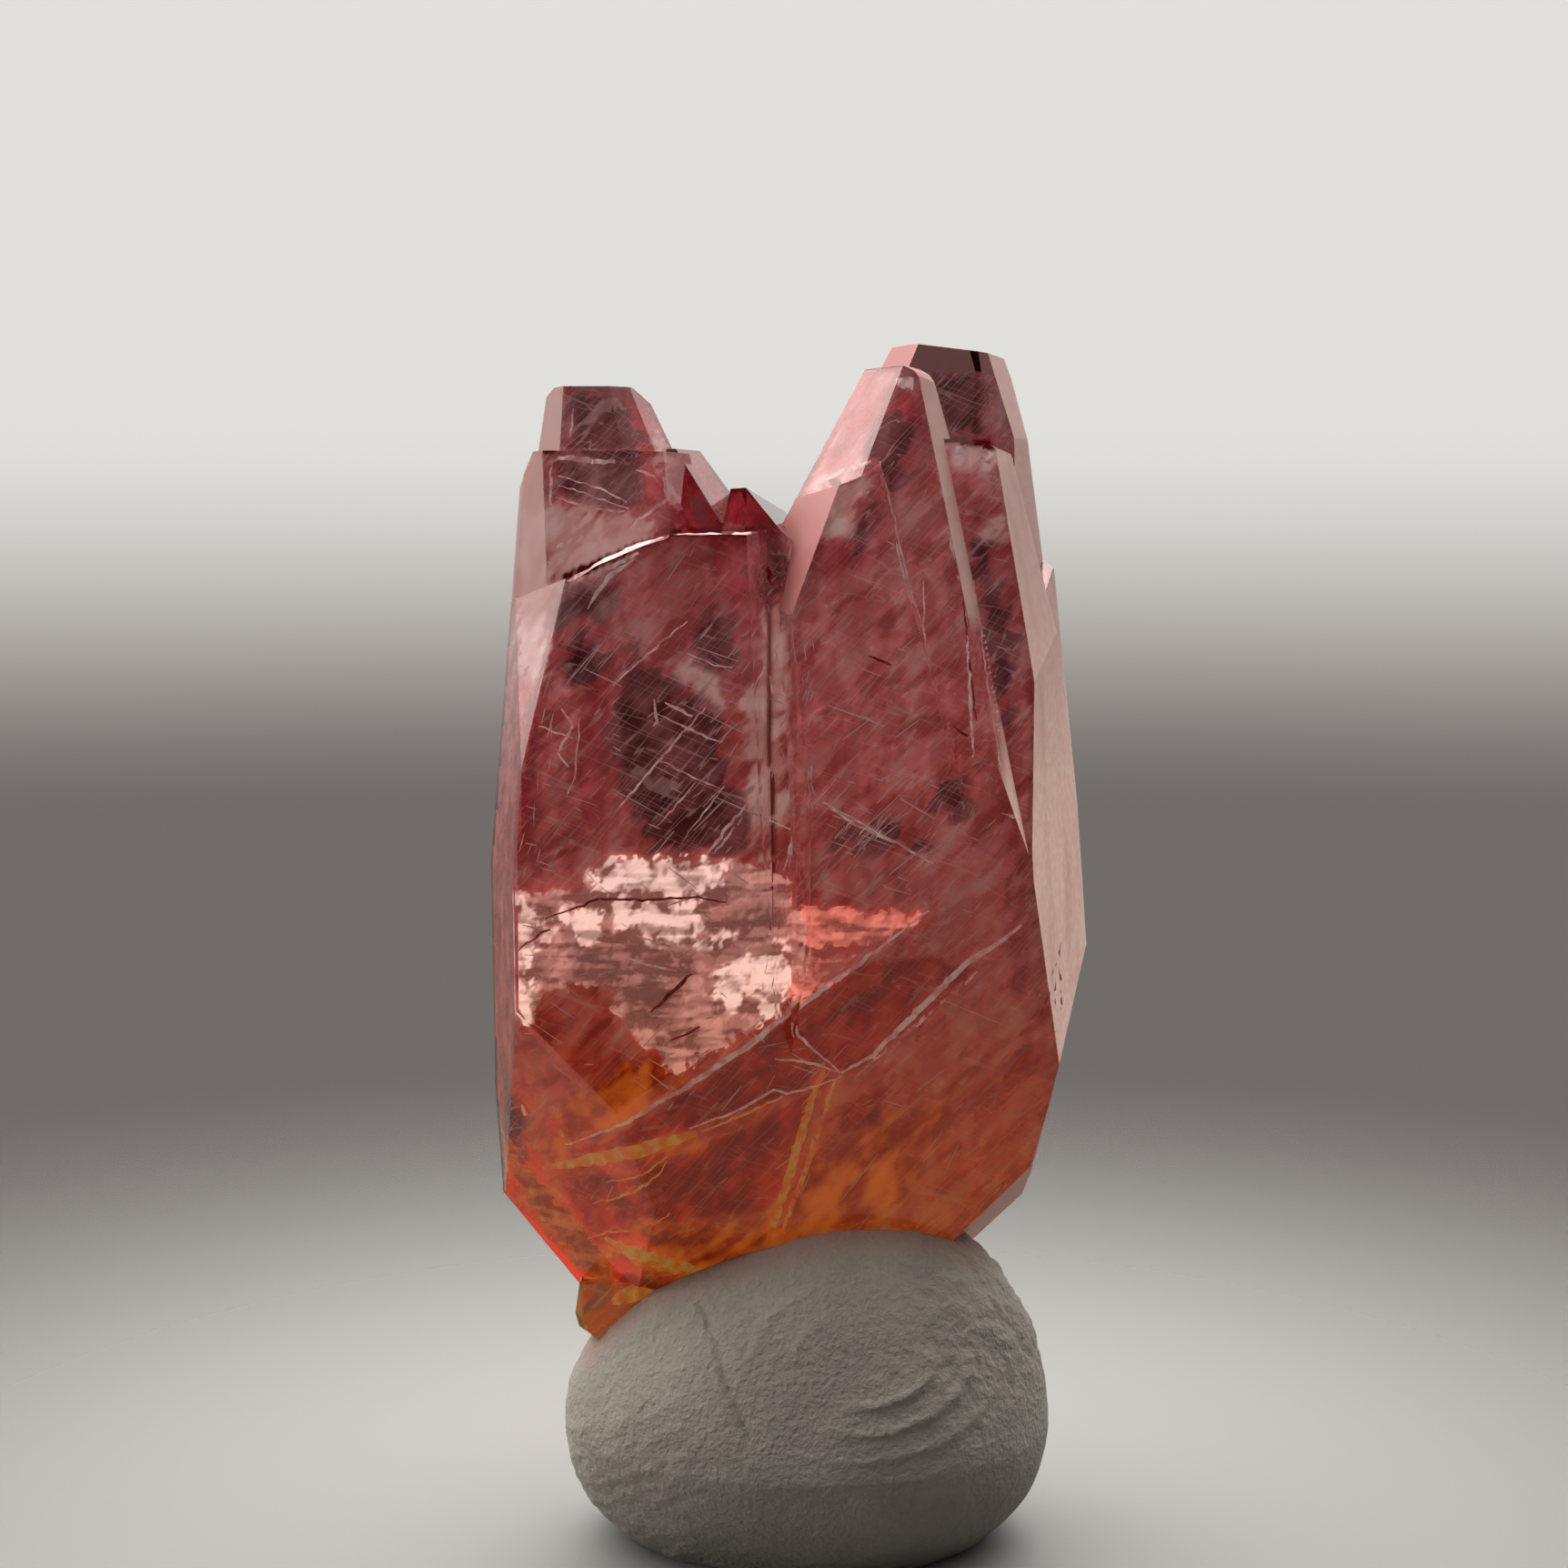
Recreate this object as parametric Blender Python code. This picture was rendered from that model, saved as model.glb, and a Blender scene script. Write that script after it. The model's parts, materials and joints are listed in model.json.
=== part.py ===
"""A rhodochrosite crystal group that stands in a lump of mounting putty.

Steep crystals that grew side by side make one solid, broken off at its foot.
The putty under it holds the foot in a pocket and rests on its own flat underside.
The origin is on the flat underside, in the middle of the whole object, with +Z up
and the best side of the crystals facing -Y. Numbers are millimetres until MM scales them.
"""

import math
from collections import namedtuple

import bmesh
import bpy
from mathutils import Vector, noise

MM = 0.001

# Where the construction's own zero stands, so that the origin is under the middle of the whole
PLACE = Vector((0.484, 0.123, 0.0)) * MM

# Driving dimensions of the crystal group
LEFT_TIP_HEIGHT = 25.35
RIGHT_TIP_HEIGHT = 26.35
WAIST_HEIGHT = 12.0
FOOT_HEIGHT = 3.4
NUB_FOOT_HEIGHT = 3.9
BLANK_SIZE = 60.0

# Driving dimensions of the putty
PUTTY_HALF_WIDTH = 5.38
PUTTY_HALF_DEPTH = 4.1
PUTTY_MIDDLE = Vector((-0.05, -1.0, 2.6))
PUTTY_RISE = 4.75
PUTTY_DROP = 3.6
PUTTY_SLOPE = 0.17
PUTTY_UNDERCUT = 0.8
LUMP_SIZE = 0.16
POCKET_GAP = 0.3
SHARP_ANGLE = 40

# Finishes
CRYSTAL_COLOUR = (0.50, 0.11, 0.09)
CRYSTAL_ROUGHNESS = 0.12
PUTTY_COLOUR = (0.24, 0.235, 0.20)
PUTTY_ROUGHNESS = 0.85

# Directions that the crystals share, as degrees round from +X, because they grew in parallel
FRONT = -90
FRONT_RIGHT = -55
RIGHT = -25
BACK_RIGHT = 30
BACK = 90
BACK_LEFT = 150
LEFT = 205

# The long side faces of a group of crystals: its axis in plan, and each face as
# (direction, reach from the axis at waist height, lean in degrees inward going up)
Group = namedtuple("Group", "axis faces")

GROUPS = {
    "left": Group((-4.0, 0.0), (
        (FRONT, 3.92, 0.5), (-41, 5.02, 0.7), (45, 4.6, 1.5), (BACK, 4.2, 4),
        (BACK_LEFT, 2.86, -0.5), (193, 2.98, -0.5), (BACK_LEFT, 3.13, 4.8), (193, 3.25, 4.8),
    )),
    "right": Group((2.5, 0.0), (
        (-93, 4.30, 1), (-70, 4.25, 2), (-20, 3.38, 3.5), (BACK_RIGHT, 3.5, 5),
        (-8, 3.35, -13), (BACK, 4.4, 4), (BACK_LEFT, 4.0, 1), (200, 4.0, 1), (-148, 4.39, 0.7),
    )),
    "rear": Group((-0.2, 2.5), (
        (FRONT, 2.5, 1), (RIGHT, 2.6, 2), (BACK_RIGHT, 2.5, 3), (BACK, 2.35, 4),
        (BACK_LEFT, 2.4, 3), (LEFT, 2.7, 2),
    )),
}

# One crystal: its group, its axis, the height of its top, and its own steep faces as
# (direction, reach from the axis at the top, lean in degrees inward going up)
Crystal = namedtuple("Crystal", "name group axis top faces")

CRYSTALS = (
    Crystal("left_spire", "left", (-4.75, 0.0), LEFT_TIP_HEIGHT, (
        (FRONT, 0.80, 14), (FRONT_RIGHT, 0.87, 19), (RIGHT, 0.94, 23),
        (BACK_RIGHT, 0.98, 23), (BACK, 1.00, 12), (BACK_LEFT, 0.95, 8), (LEFT, 0.88, 8),
        (180, 0.84, 50), (-5, 0.86, 48),
    )),
    Crystal("left_shoulder", "left", (-4.8, 0.0), 23.95, (
        (FRONT, 1.45, 14), (FRONT_RIGHT, 1.73, 16), (RIGHT, 1.87, 12),
        (BACK_RIGHT, 1.90, 12), (BACK, 1.90, 9), (BACK_LEFT, 1.44, 3.5), (LEFT, 1.47, 3.5),
        (180, 1.20, 29),
    )),
    Crystal("left_second", "left", (-3.1, 0.8), 24.05, (
        (FRONT, 0.90, 12), (RIGHT, 0.50, 33), (BACK_RIGHT, 0.62, 33),
        (BACK, 1.10, 12), (BACK_LEFT, 1.20, 10), (LEFT, 1.20, 8),
    )),
    Crystal("left_third", "left", (-1.3, 0.3), 23.15, (
        (FRONT, 2.20, 12), (FRONT_RIGHT, 2.10, 12), (RIGHT, 1.45, 8), (-3, 0.0, 57), (-8, 0.2, 40),
        (BACK_RIGHT, 1.10, 8), (BACK, 1.40, 12), (180, 0.45, 12), (LEFT, 1.00, 8),
    )),
    Crystal("left_front", "left", (-3.0, -1.5), 22.15, (
        (FRONT, 1.50, 8), (FRONT_RIGHT, 2.30, 10.5), (RIGHT, 2.10, 6), (BACK, 3.0, 4),
        (LEFT, 2.37, 15), (185, 0.10, 67),
    )),
    Crystal("left_back", "left", (-3.6, 1.2), 21.4, (
        (FRONT, 2.0, 5), (BACK_RIGHT, 1.9, 10), (BACK, 1.9, 12), (BACK_LEFT, 1.9, 8),
        (LEFT, 1.7, 6),
    )),
    Crystal("right_back", "right", (3.0, 1.2), RIGHT_TIP_HEIGHT, (
        (FRONT, 1.00, 14), (FRONT_RIGHT, 1.18, 16), (RIGHT, 1.10, 18.5),
        (BACK_RIGHT, 1.03, 18.5), (BACK, 1.20, 12), (BACK_LEFT, 1.10, 24), (LEFT, 1.01, 26),
        (RIGHT, 1.50, 8), (BACK_RIGHT, 1.45, 8), (0, -0.8, 83), (-5, 1.00, 55),
    )),
    Crystal("right_front", "right", (1.9, -0.9), 25.72, (
        (FRONT, 0.70, 15), (RIGHT, 0.57, 16), (BACK_RIGHT, 0.57, 11), (BACK, 1.00, 10),
        (BACK_LEFT, 0.85, 24), (215, 0.385, 25), (-20, 0.28, 62), (-22, 0.42, 40),
    )),
    Crystal("right_small", "right", (3.4, -0.9), 24.2, (
        (FRONT, 0.45, 15), (RIGHT, 0.62, 14), (BACK_RIGHT, 0.9, 12), (BACK, 1.2, 8),
        (LEFT, 0.8, 3), (-125, 0.72, 8), (20, -0.5, 80), (-20, 0.40, 50),
    )),
    Crystal("right_step", "right", (1.3, -1.0), 23.6, (
        (FRONT, 1.35, 15), (RIGHT, 0.62, 18.5), (BACK_RIGHT, 2.2, 6),
        (BACK, 2.0, 6), (BACK_LEFT, 1.3, 20), (LEFT, 1.1, 24), (190, -0.05, 68),
    )),
    Crystal("right_side", "right", (3.6, 0.3), 21.75, (
        (FRONT, 3.2, 12), (-20, 1.61, 6), (BACK_RIGHT, 1.80, 5), (BACK, 3.0, 5),
        (200, -0.6, 3), (-105, -1.0, 60),
    )),
    Crystal("right_rear", "right", (1.4, 1.6), 22.3, (
        (FRONT, 3.0, 5), (RIGHT, 2.2, 8), (BACK_RIGHT, 1.9, 10), (BACK, 1.8, 10),
        (BACK_LEFT, 1.7, 10), (LEFT, 1.6, 12),
    )),
    Crystal("rear_spire", "rear", (0.6, 3.5), 20.6, (
        (FRONT, 2.0, 2), (RIGHT, 0.5, 14), (BACK_RIGHT, 0.45, 12), (BACK, 0.55, 9),
        (BACK_LEFT, 0.5, 12), (LEFT, 0.5, 14),
    )),
    Crystal("rear_stub", "rear", (-1.2, 3.6), 17.2, (
        (FRONT, 2.0, 2), (RIGHT, 1.1, 8), (65, 1.0, 10), (BACK, 0.9, 11),
        (BACK_LEFT, 0.8, 12), (LEFT, 0.9, 12), (200, 0.1, 66),
    )),
)

# Breaks that end the group below, as (point, direction, lean); a negative lean faces down
BREAKS = (
    ((-7.25, 0.0, 7.85), 200, -37),
    ((-0.45, -4.0, 12.9), -80, -14.5),
    ((-4.0, -3.4, 9.0), -118, -24),
    ((3.5, -3.6, 9.8), -58, -22),
    ((0.0, -2.9, 7.6), -88, -32),
    ((0.0, 4.2, 10.5), 97, -20),
    ((-3.0, 3.4, 9.5), 130, -28),
    ((5.20, 0.0, 8.7), -12, -16),
    ((4.70, 0.0, 7.64), -24, -43),
)

# A nub that is left beside the foot, cut like a crystal
NUB = Crystal("nub", "foot", (-3.6, -0.8), 5.9, (
    (FRONT, 1.1, -8), (-50, 1.6, -6), (178, 1.42, 9), (182, 1.75, -14), (200, 3.0, -53),
    (BACK, 1.3, -4), (0, 1.2, -8),
))


def new_collection(name):
    """Make a collection in the scene."""
    collection = bpy.data.collections.new(name)
    bpy.context.scene.collection.children.link(collection)
    return collection


def new_object(name, mesh, collection):
    """Put a bmesh into a named object of the collection."""
    data = bpy.data.meshes.new(name)
    bmesh.ops.recalc_face_normals(mesh, faces=mesh.faces)
    mesh.to_mesh(data)
    mesh.free()
    obj = bpy.data.objects.new(name, data)
    obj.location = PLACE
    collection.objects.link(obj)
    return obj


def new_material(name, colour, roughness):
    """Make a plain Principled material."""
    material = bpy.data.materials.new(name)
    material.use_nodes = True
    shader = material.node_tree.nodes["Principled BSDF"]
    shader.inputs["Base Color"].default_value = (*colour, 1.0)
    shader.inputs["Roughness"].default_value = roughness
    shader.inputs["Metallic"].default_value = 0.0
    material.diffuse_color = (*colour, 1.0)
    return material


def direction(azimuth, lean):
    """Return the outward normal of a face that looks along azimuth and leans in going up."""
    turn = math.radians(azimuth)
    tilt = math.radians(lean)
    return Vector((math.cos(turn) * math.cos(tilt), math.sin(turn) * math.cos(tilt), math.sin(tilt)))


def cleave(mesh, point, normal):
    """Cut away what lies beyond a plane through point, and close the cut."""
    geometry = mesh.verts[:] + mesh.edges[:] + mesh.faces[:]
    cut = bmesh.ops.bisect_plane(mesh, geom=geometry, dist=1e-7, plane_co=point * MM,
                                 plane_no=normal, clear_outer=True)
    edges = [part for part in cut["geom_cut"] if isinstance(part, bmesh.types.BMEdge)]
    if edges:
        bmesh.ops.contextual_create(mesh, geom=edges)


def cleave_sides(mesh, axis, height, faces):
    """Cut a ring of side faces round an upright axis."""
    base = Vector((axis[0], axis[1], height))
    for azimuth, reach, lean in faces:
        cleave(mesh, base + direction(azimuth, 0) * reach, direction(azimuth, lean))


def block():
    """Return a block that is larger than the whole group, to cut a convex body from."""
    mesh = bmesh.new()
    bmesh.ops.create_cube(mesh, size=BLANK_SIZE * MM)
    return mesh


def crystal_mesh(crystal):
    """Cut the steep tip of one crystal, face by face."""
    mesh = block()
    cleave(mesh, Vector((0, 0, crystal.top)), Vector((0, 0, 1)))
    cleave_sides(mesh, crystal.axis, crystal.top, crystal.faces)
    return mesh


def sides_mesh(group):
    """Cut the convex body that the long side faces of a group enclose."""
    mesh = block()
    cleave_sides(mesh, group.axis, WAIST_HEIGHT, group.faces)
    return mesh


def breaks_mesh(room=0.0):
    """Cut the convex body that the breaks leave, with room to spare outside every break."""
    mesh = block()
    cleave(mesh, Vector((0, 0, FOOT_HEIGHT - room)), Vector((0, 0, -1)))
    for point, azimuth, lean in BREAKS:
        outward = direction(azimuth, lean)
        cleave(mesh, Vector(point) + outward * room, outward)
    return mesh


def nub_mesh(room=0.0):
    """Cut the nub, with room to spare round its sides and under it."""
    sides = tuple((azimuth, reach + room / math.cos(math.radians(lean)), lean)
                  for azimuth, reach, lean in NUB.faces)
    mesh = crystal_mesh(NUB._replace(top=NUB.top + room, faces=sides))
    cleave(mesh, Vector((0, 0, NUB_FOOT_HEIGHT - room)), Vector((0, 0, -1)))
    return mesh


def combine(target, operation, operand):
    """Join operand to target, or keep only what lies in both, by a Boolean modifier."""
    modifier = target.modifiers.new(operand.name, "BOOLEAN")
    modifier.operation = operation
    modifier.solver = "EXACT"
    modifier.object = operand


def new_cutter(name, mesh, cutters):
    """Make a helper body that is not itself part of the object."""
    cutter = new_object(name, mesh, cutters)
    cutter.hide_render = True
    cutter.display_type = "WIRE"
    return cutter


def members_of(name):
    """Return the crystals of one group."""
    return [crystal for crystal in CRYSTALS if crystal.group == name]


def grow_group(target, name, cutters):
    """Join the later crystals of a group on its first one, within the group's long side faces."""
    for crystal in members_of(name)[1:]:
        combine(target, "UNION", new_cutter(crystal.name, crystal_mesh(crystal), cutters))
    combine(target, "INTERSECT", new_cutter(name + "_sides", sides_mesh(GROUPS[name]), cutters))


def make_crystal(parts, cutters):
    """Join all the groups of crystals in one solid, break off its foot and leave the nub."""
    main_name, *other_names = GROUPS
    whole = new_object("crystal", crystal_mesh(members_of(main_name)[0]), parts)
    grow_group(whole, main_name, cutters)
    for name in other_names:
        group = new_cutter(name + "_group", crystal_mesh(members_of(name)[0]), cutters)
        grow_group(group, name, cutters)
        combine(whole, "UNION", group)
    combine(whole, "INTERSECT", new_cutter("breaks", breaks_mesh(), cutters))
    combine(whole, "UNION", new_cutter(NUB.name, nub_mesh(), cutters))
    whole.data.materials.append(new_material("clear_rose_crystal", CRYSTAL_COLOUR, CRYSTAL_ROUGHNESS))


def putty_mesh():
    """Press a ball into the lump: flat below, fuller low down, higher on the right."""
    mesh = bmesh.new()
    bmesh.ops.create_uvsphere(mesh, u_segments=44, v_segments=24, radius=1.0)
    for vert in mesh.verts:
        turn = math.atan2(vert.co.y, vert.co.x)
        level = vert.co.z
        fullness = 2.0 if level > 0 else 2.25
        girth = max(0.0, 1 - abs(level) ** fullness) ** (1 / fullness)
        height = level * (PUTTY_RISE if level > 0 else PUTTY_DROP)
        place = Vector((girth * PUTTY_HALF_WIDTH * math.cos(turn),
                        girth * PUTTY_HALF_DEPTH * math.sin(turn), height))
        place.z += PUTTY_SLOPE * place.x * max(level, 0.0)
        place.y += PUTTY_UNDERCUT * max(-level, 0.0)
        place += vert.normal * LUMP_SIZE * noise.noise(vert.co * 1.7)
        vert.co = (PUTTY_MIDDLE + place) * MM
    cleave(mesh, Vector((0, 0, 0)), Vector((0, 0, -1)))
    return mesh


def make_putty(parts, cutters):
    """Make the lump with a pocket that clears the foot of the crystals."""
    lump = new_object("putty", putty_mesh(), parts)
    combine(lump, "DIFFERENCE", new_cutter("foot_pocket", breaks_mesh(POCKET_GAP), cutters))
    combine(lump, "DIFFERENCE", new_cutter("nub_pocket", nub_mesh(POCKET_GAP), cutters))
    lump.data.shade_smooth()
    lump.data.set_sharp_from_angle(angle=math.radians(SHARP_ANGLE))
    lump.data.materials.append(new_material("grey_putty", PUTTY_COLOUR, PUTTY_ROUGHNESS))


def main():
    for obj in list(bpy.data.objects):
        bpy.data.objects.remove(obj, do_unlink=True)
    parts = new_collection("rhodochrosite")
    cutters = new_collection("cutters")
    make_crystal(parts, cutters)
    make_putty(parts, cutters)


main()
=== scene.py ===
"""Dresses a rhodochrosite crystal group and the lump of putty that it stands in.

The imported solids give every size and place. Run as a script, it makes each piece with the
operators below, in order, and sets a plain stage round them.
"""

import json
import math
import random

import bmesh
import bpy
import numpy as np
from bpy.props import FloatProperty, FloatVectorProperty, PointerProperty
from mathutils import Matrix, Vector, noise
from mathutils.bvhtree import BVHTree

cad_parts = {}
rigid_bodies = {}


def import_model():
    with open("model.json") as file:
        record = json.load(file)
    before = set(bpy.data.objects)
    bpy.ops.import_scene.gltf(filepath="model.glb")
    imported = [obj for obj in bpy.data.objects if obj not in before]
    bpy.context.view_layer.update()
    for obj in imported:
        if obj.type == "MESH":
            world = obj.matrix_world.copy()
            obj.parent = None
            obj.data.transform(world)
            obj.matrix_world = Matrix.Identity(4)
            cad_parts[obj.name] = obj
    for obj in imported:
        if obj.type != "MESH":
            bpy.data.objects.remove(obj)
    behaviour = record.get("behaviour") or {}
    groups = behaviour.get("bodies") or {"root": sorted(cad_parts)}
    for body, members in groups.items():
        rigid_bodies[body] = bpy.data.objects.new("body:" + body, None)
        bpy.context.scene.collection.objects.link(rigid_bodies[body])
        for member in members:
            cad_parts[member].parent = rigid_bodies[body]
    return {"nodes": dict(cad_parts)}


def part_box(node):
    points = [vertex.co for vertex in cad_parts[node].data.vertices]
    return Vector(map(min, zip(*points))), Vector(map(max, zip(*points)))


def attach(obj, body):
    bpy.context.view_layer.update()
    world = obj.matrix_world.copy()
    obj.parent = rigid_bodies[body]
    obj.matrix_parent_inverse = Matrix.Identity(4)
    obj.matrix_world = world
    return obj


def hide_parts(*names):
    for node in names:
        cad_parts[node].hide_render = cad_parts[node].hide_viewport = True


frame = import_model()

bl_info = {
    "name": "Rhodochrosite on putty",
    "version": (1, 0, 0),
    "blender": (4, 5, 0),
    "location": "View3D > Sidebar > Rhodochrosite",
    "description": "Makes the clear crystals with their flaws, the putty and the stage",
    "category": "Add Mesh",
}

MM = 0.001
BODY = "root"
CRYSTAL_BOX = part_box("crystal")
FOOT = CRYSTAL_BOX[0].z
TIP = CRYSTAL_BOX[1].z

# Where a sheet goes that has no crystal behind it, and a bound between it and the front faces
OFF_FRONT = -0.020
BEFORE_FRONT = -0.006

# Directions that the crystals share, as degrees round from +X
RIGHT = -22
LEFT = 200


# Shader maths

class Value:
    """A number that varies over a surface, so that shader maths reads as ordinary maths."""

    def __init__(self, finish, socket):
        self.finish = finish
        self.socket = socket

    def _maths(self, operation, *values):
        node = self.finish.node("ShaderNodeMath", {"operation": operation}, list(values))
        return Value(self.finish, node.outputs[0])

    def __add__(self, other):
        return self._maths("ADD", self, other)

    def __radd__(self, other):
        return self._maths("ADD", other, self)

    def __sub__(self, other):
        return self._maths("SUBTRACT", self, other)

    def __rsub__(self, other):
        return self._maths("SUBTRACT", other, self)

    def __mul__(self, other):
        return self._maths("MULTIPLY", self, other)

    def __rmul__(self, other):
        return self._maths("MULTIPLY", other, self)

    def __truediv__(self, other):
        return self._maths("DIVIDE", self, other)

    def __rtruediv__(self, other):
        return self._maths("DIVIDE", other, self)

    def __pow__(self, other):
        return self._maths("POWER", self, other)

    def most(self, other):
        return self._maths("MAXIMUM", self, other)

    def least(self, other):
        return self._maths("MINIMUM", self, other)

    def size(self):
        return self._maths("ABSOLUTE", self)

    def rise(self, low, high):
        """Go smoothly from 0 at low to 1 at high, or from 1 to 0 where low is above high."""
        flip = low > high
        ends = (high, low) if flip else (low, high)
        node = self.finish.node("ShaderNodeMapRange", {"interpolation_type": "SMOOTHSTEP"},
                                {"Value": self, "From Min": ends[0], "From Max": ends[1]})
        value = Value(self.finish, node.outputs["Result"])
        return 1 - value if flip else value


class Finish:
    """A material or a world made of nodes, where one method adds any node."""

    def __init__(self, owner):
        owner.use_nodes = True
        self.owner = owner
        self.tree = owner.node_tree
        self.tree.nodes.clear()

    @classmethod
    def material(cls, name):
        return cls(bpy.data.materials.new(name))

    def node(self, kind, settings=None, values=None):
        """Add a node, with its settings first and then the values or links of its sockets."""
        node = self.tree.nodes.new(kind)
        for key, setting in (settings or {}).items():
            if key == "stops":
                self._set_stops(node.color_ramp, setting)
            else:
                setattr(node, key, setting)
        pairs = values.items() if isinstance(values, dict) else enumerate(values or ())
        for key, value in pairs:
            socket = node.inputs[key]
            if isinstance(value, Value):
                value = value.socket
            if isinstance(value, bpy.types.NodeSocket):
                self.tree.links.new(value, socket)
            elif isinstance(value, (tuple, list, Vector)) and socket.type == "RGBA":
                socket.default_value = (*value[:3], 1.0)
            else:
                socket.default_value = value
        return node

    @staticmethod
    def _set_stops(ramp, stops):
        while len(ramp.elements) < len(stops):
            ramp.elements.new(0.5)
        for element, (place, colour) in zip(ramp.elements, stops):
            element.position = place
            element.color = (*colour, 1.0)

    def place(self, stretch=(1, 1, 1), turn=(0, 0, 0)):
        """Return object coordinates in millimetres, stretched and turned for a pattern."""
        source = self.node("ShaderNodeTexCoord").outputs["Object"]
        scale = tuple(MM * part for part in stretch)
        return self.node("ShaderNodeMapping", {"vector_type": "TEXTURE"}, {
            "Vector": source, "Scale": scale, "Rotation": tuple(math.radians(a) for a in turn),
        }).outputs[0]

    def parts(self, vector):
        """Split a vector into three values."""
        node = self.node("ShaderNodeSeparateXYZ", None, [vector])
        return [Value(self, output) for output in node.outputs]

    def cloud(self, vector, scale, detail, roughness=0.5):
        node = self.node("ShaderNodeTexNoise", None, {
            "Vector": vector, "Scale": scale, "Detail": detail, "Roughness": roughness,
        })
        return Value(self, node.outputs[0])

    def attribute(self, name):
        node = self.node("ShaderNodeAttribute", {"attribute_name": name})
        return Value(self, node.outputs["Fac"])

    def height(self, place):
        """Return 0 at the crystals' foot and 1 at their tips."""
        return (self.parts(place)[2] - FOOT / MM) / ((TIP - FOOT) / MM)

    def ramp(self, value, stops):
        return self.node("ShaderNodeValToRGB", {"stops": stops}, {"Fac": value}).outputs["Color"]

    def mix(self, share, first, second):
        """Mix two colours."""
        node = self.node("ShaderNodeMix", {"data_type": "RGBA"}, {0: share, 6: first, 7: second})
        return node.outputs[2]

    def bump(self, height, distance, strength=1.0):
        """Turn heights from 0 to 1 into a normal, with distance in millimetres."""
        return self.node("ShaderNodeBump", None, {
            "Height": height, "Distance": distance * MM, "Strength": strength,
        }).outputs["Normal"]

    def surface(self, volume=None, **values):
        """Finish the material with a Principled shader and, where given, a volume."""
        sockets = {key.replace("_", " ").title(): value for key, value in values.items()}
        sockets = {key.replace("Ior", "IOR"): value for key, value in sockets.items()}
        shader = self.node("ShaderNodeBsdfPrincipled", None, sockets)
        output = self.node("ShaderNodeOutputMaterial", None, {"Surface": shader.outputs[0]})
        if volume is not None:
            self.tree.links.new(volume, output.inputs["Volume"])
        return self.owner


# Mesh work

def deselect():
    """Leave object mode with nothing selected."""
    if bpy.context.object is not None and bpy.context.object.mode != "OBJECT":
        bpy.ops.object.mode_set(mode="OBJECT")
    for obj in bpy.context.view_layer.objects:
        obj.select_set(False)


def pick(obj):
    """Select one object and make it active."""
    deselect()
    obj.hide_viewport = False
    obj.select_set(True)
    bpy.context.view_layer.objects.active = obj


def edit(obj):
    """Go into edit mode on one object with nothing in it selected."""
    pick(obj)
    bpy.ops.object.mode_set(mode="EDIT")
    bpy.ops.mesh.select_mode(type="FACE")
    bpy.ops.mesh.select_all(action="DESELECT")


def choose(obj, test):
    """Select the faces that pass a test of centre and normal, in edit mode."""
    mesh = bmesh.from_edit_mesh(obj.data)
    for face in mesh.faces:
        face.select_set(bool(test(face.calc_center_median(), face.normal)))
    bmesh.update_edit_mesh(obj.data)


def object_mode():
    bpy.ops.object.mode_set(mode="OBJECT")


def apply(obj, kind, **settings):
    """Add a modifier and apply it."""
    pick(obj)
    modifier = obj.modifiers.new(kind.title(), kind)
    for key, value in settings.items():
        setattr(modifier, key, value)
    bpy.ops.object.modifier_apply(modifier=modifier.name)


def copy_of(source, name):
    """Copy an object's mesh into a new object that stands on its own at the origin."""
    pick(source)
    hidden = source.hide_render
    bpy.ops.object.duplicate(linked=False)
    piece = bpy.context.object
    bpy.ops.object.parent_clear(type="CLEAR_KEEP_TRANSFORM")
    for key in list(piece.keys()):
        if key.startswith("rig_"):
            del piece[key]
    piece.name = name
    piece.hide_render = False
    source.hide_viewport = hidden
    return piece


def whole_copy(node, name):
    """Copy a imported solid, with its loose triangles joined into whole flat faces."""
    piece = copy_of(frame["nodes"][node], name)
    piece.data.materials.clear()
    edit(piece)
    bpy.ops.mesh.select_all(action="SELECT")
    bpy.ops.mesh.remove_doubles(threshold=1e-6)
    bpy.ops.mesh.dissolve_limited(angle_limit=math.radians(0.5))
    object_mode()
    return piece


def adopt(piece, material, slot, *nodes):
    """Give a piece its finish, and let it ride and stand for what it dresses."""
    piece.data.materials.clear()
    piece.data.materials.append(material)
    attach(piece, BODY)
    if nodes:
        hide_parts(*nodes)


def drop_faces(piece, test):
    """Delete the faces that pass a test of centre and normal."""
    edit(piece)
    choose(piece, test)
    bpy.ops.mesh.delete(type="FACE")
    object_mode()


def store(piece, name, values):
    """Store one number on each vertex for the finishes to read."""
    piece.data.attributes.new(name, "FLOAT", "POINT").data.foreach_set("value", values)


def crystal_group():
    return bpy.data.objects["crystal_group"]


def clamp(value):
    return max(0.0, min(1.0, value))


def scaled(colour, share):
    return tuple(part * share for part in colour)


def azimuth(normal):
    """Return the direction that a face looks in, as degrees round from +X."""
    return math.degrees(math.atan2(normal.y, normal.x))


def looks(normal, toward, spread=10):
    """Tell whether a steep face looks toward an azimuth."""
    away = (azimuth(normal) - toward + 180) % 360 - 180
    return abs(away) < spread and abs(normal.z) < 0.6


def settle(piece):
    """Put a piece's place, turn and scale into its mesh."""
    pick(piece)
    bpy.ops.object.transform_apply(location=True, rotation=True, scale=True)


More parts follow.
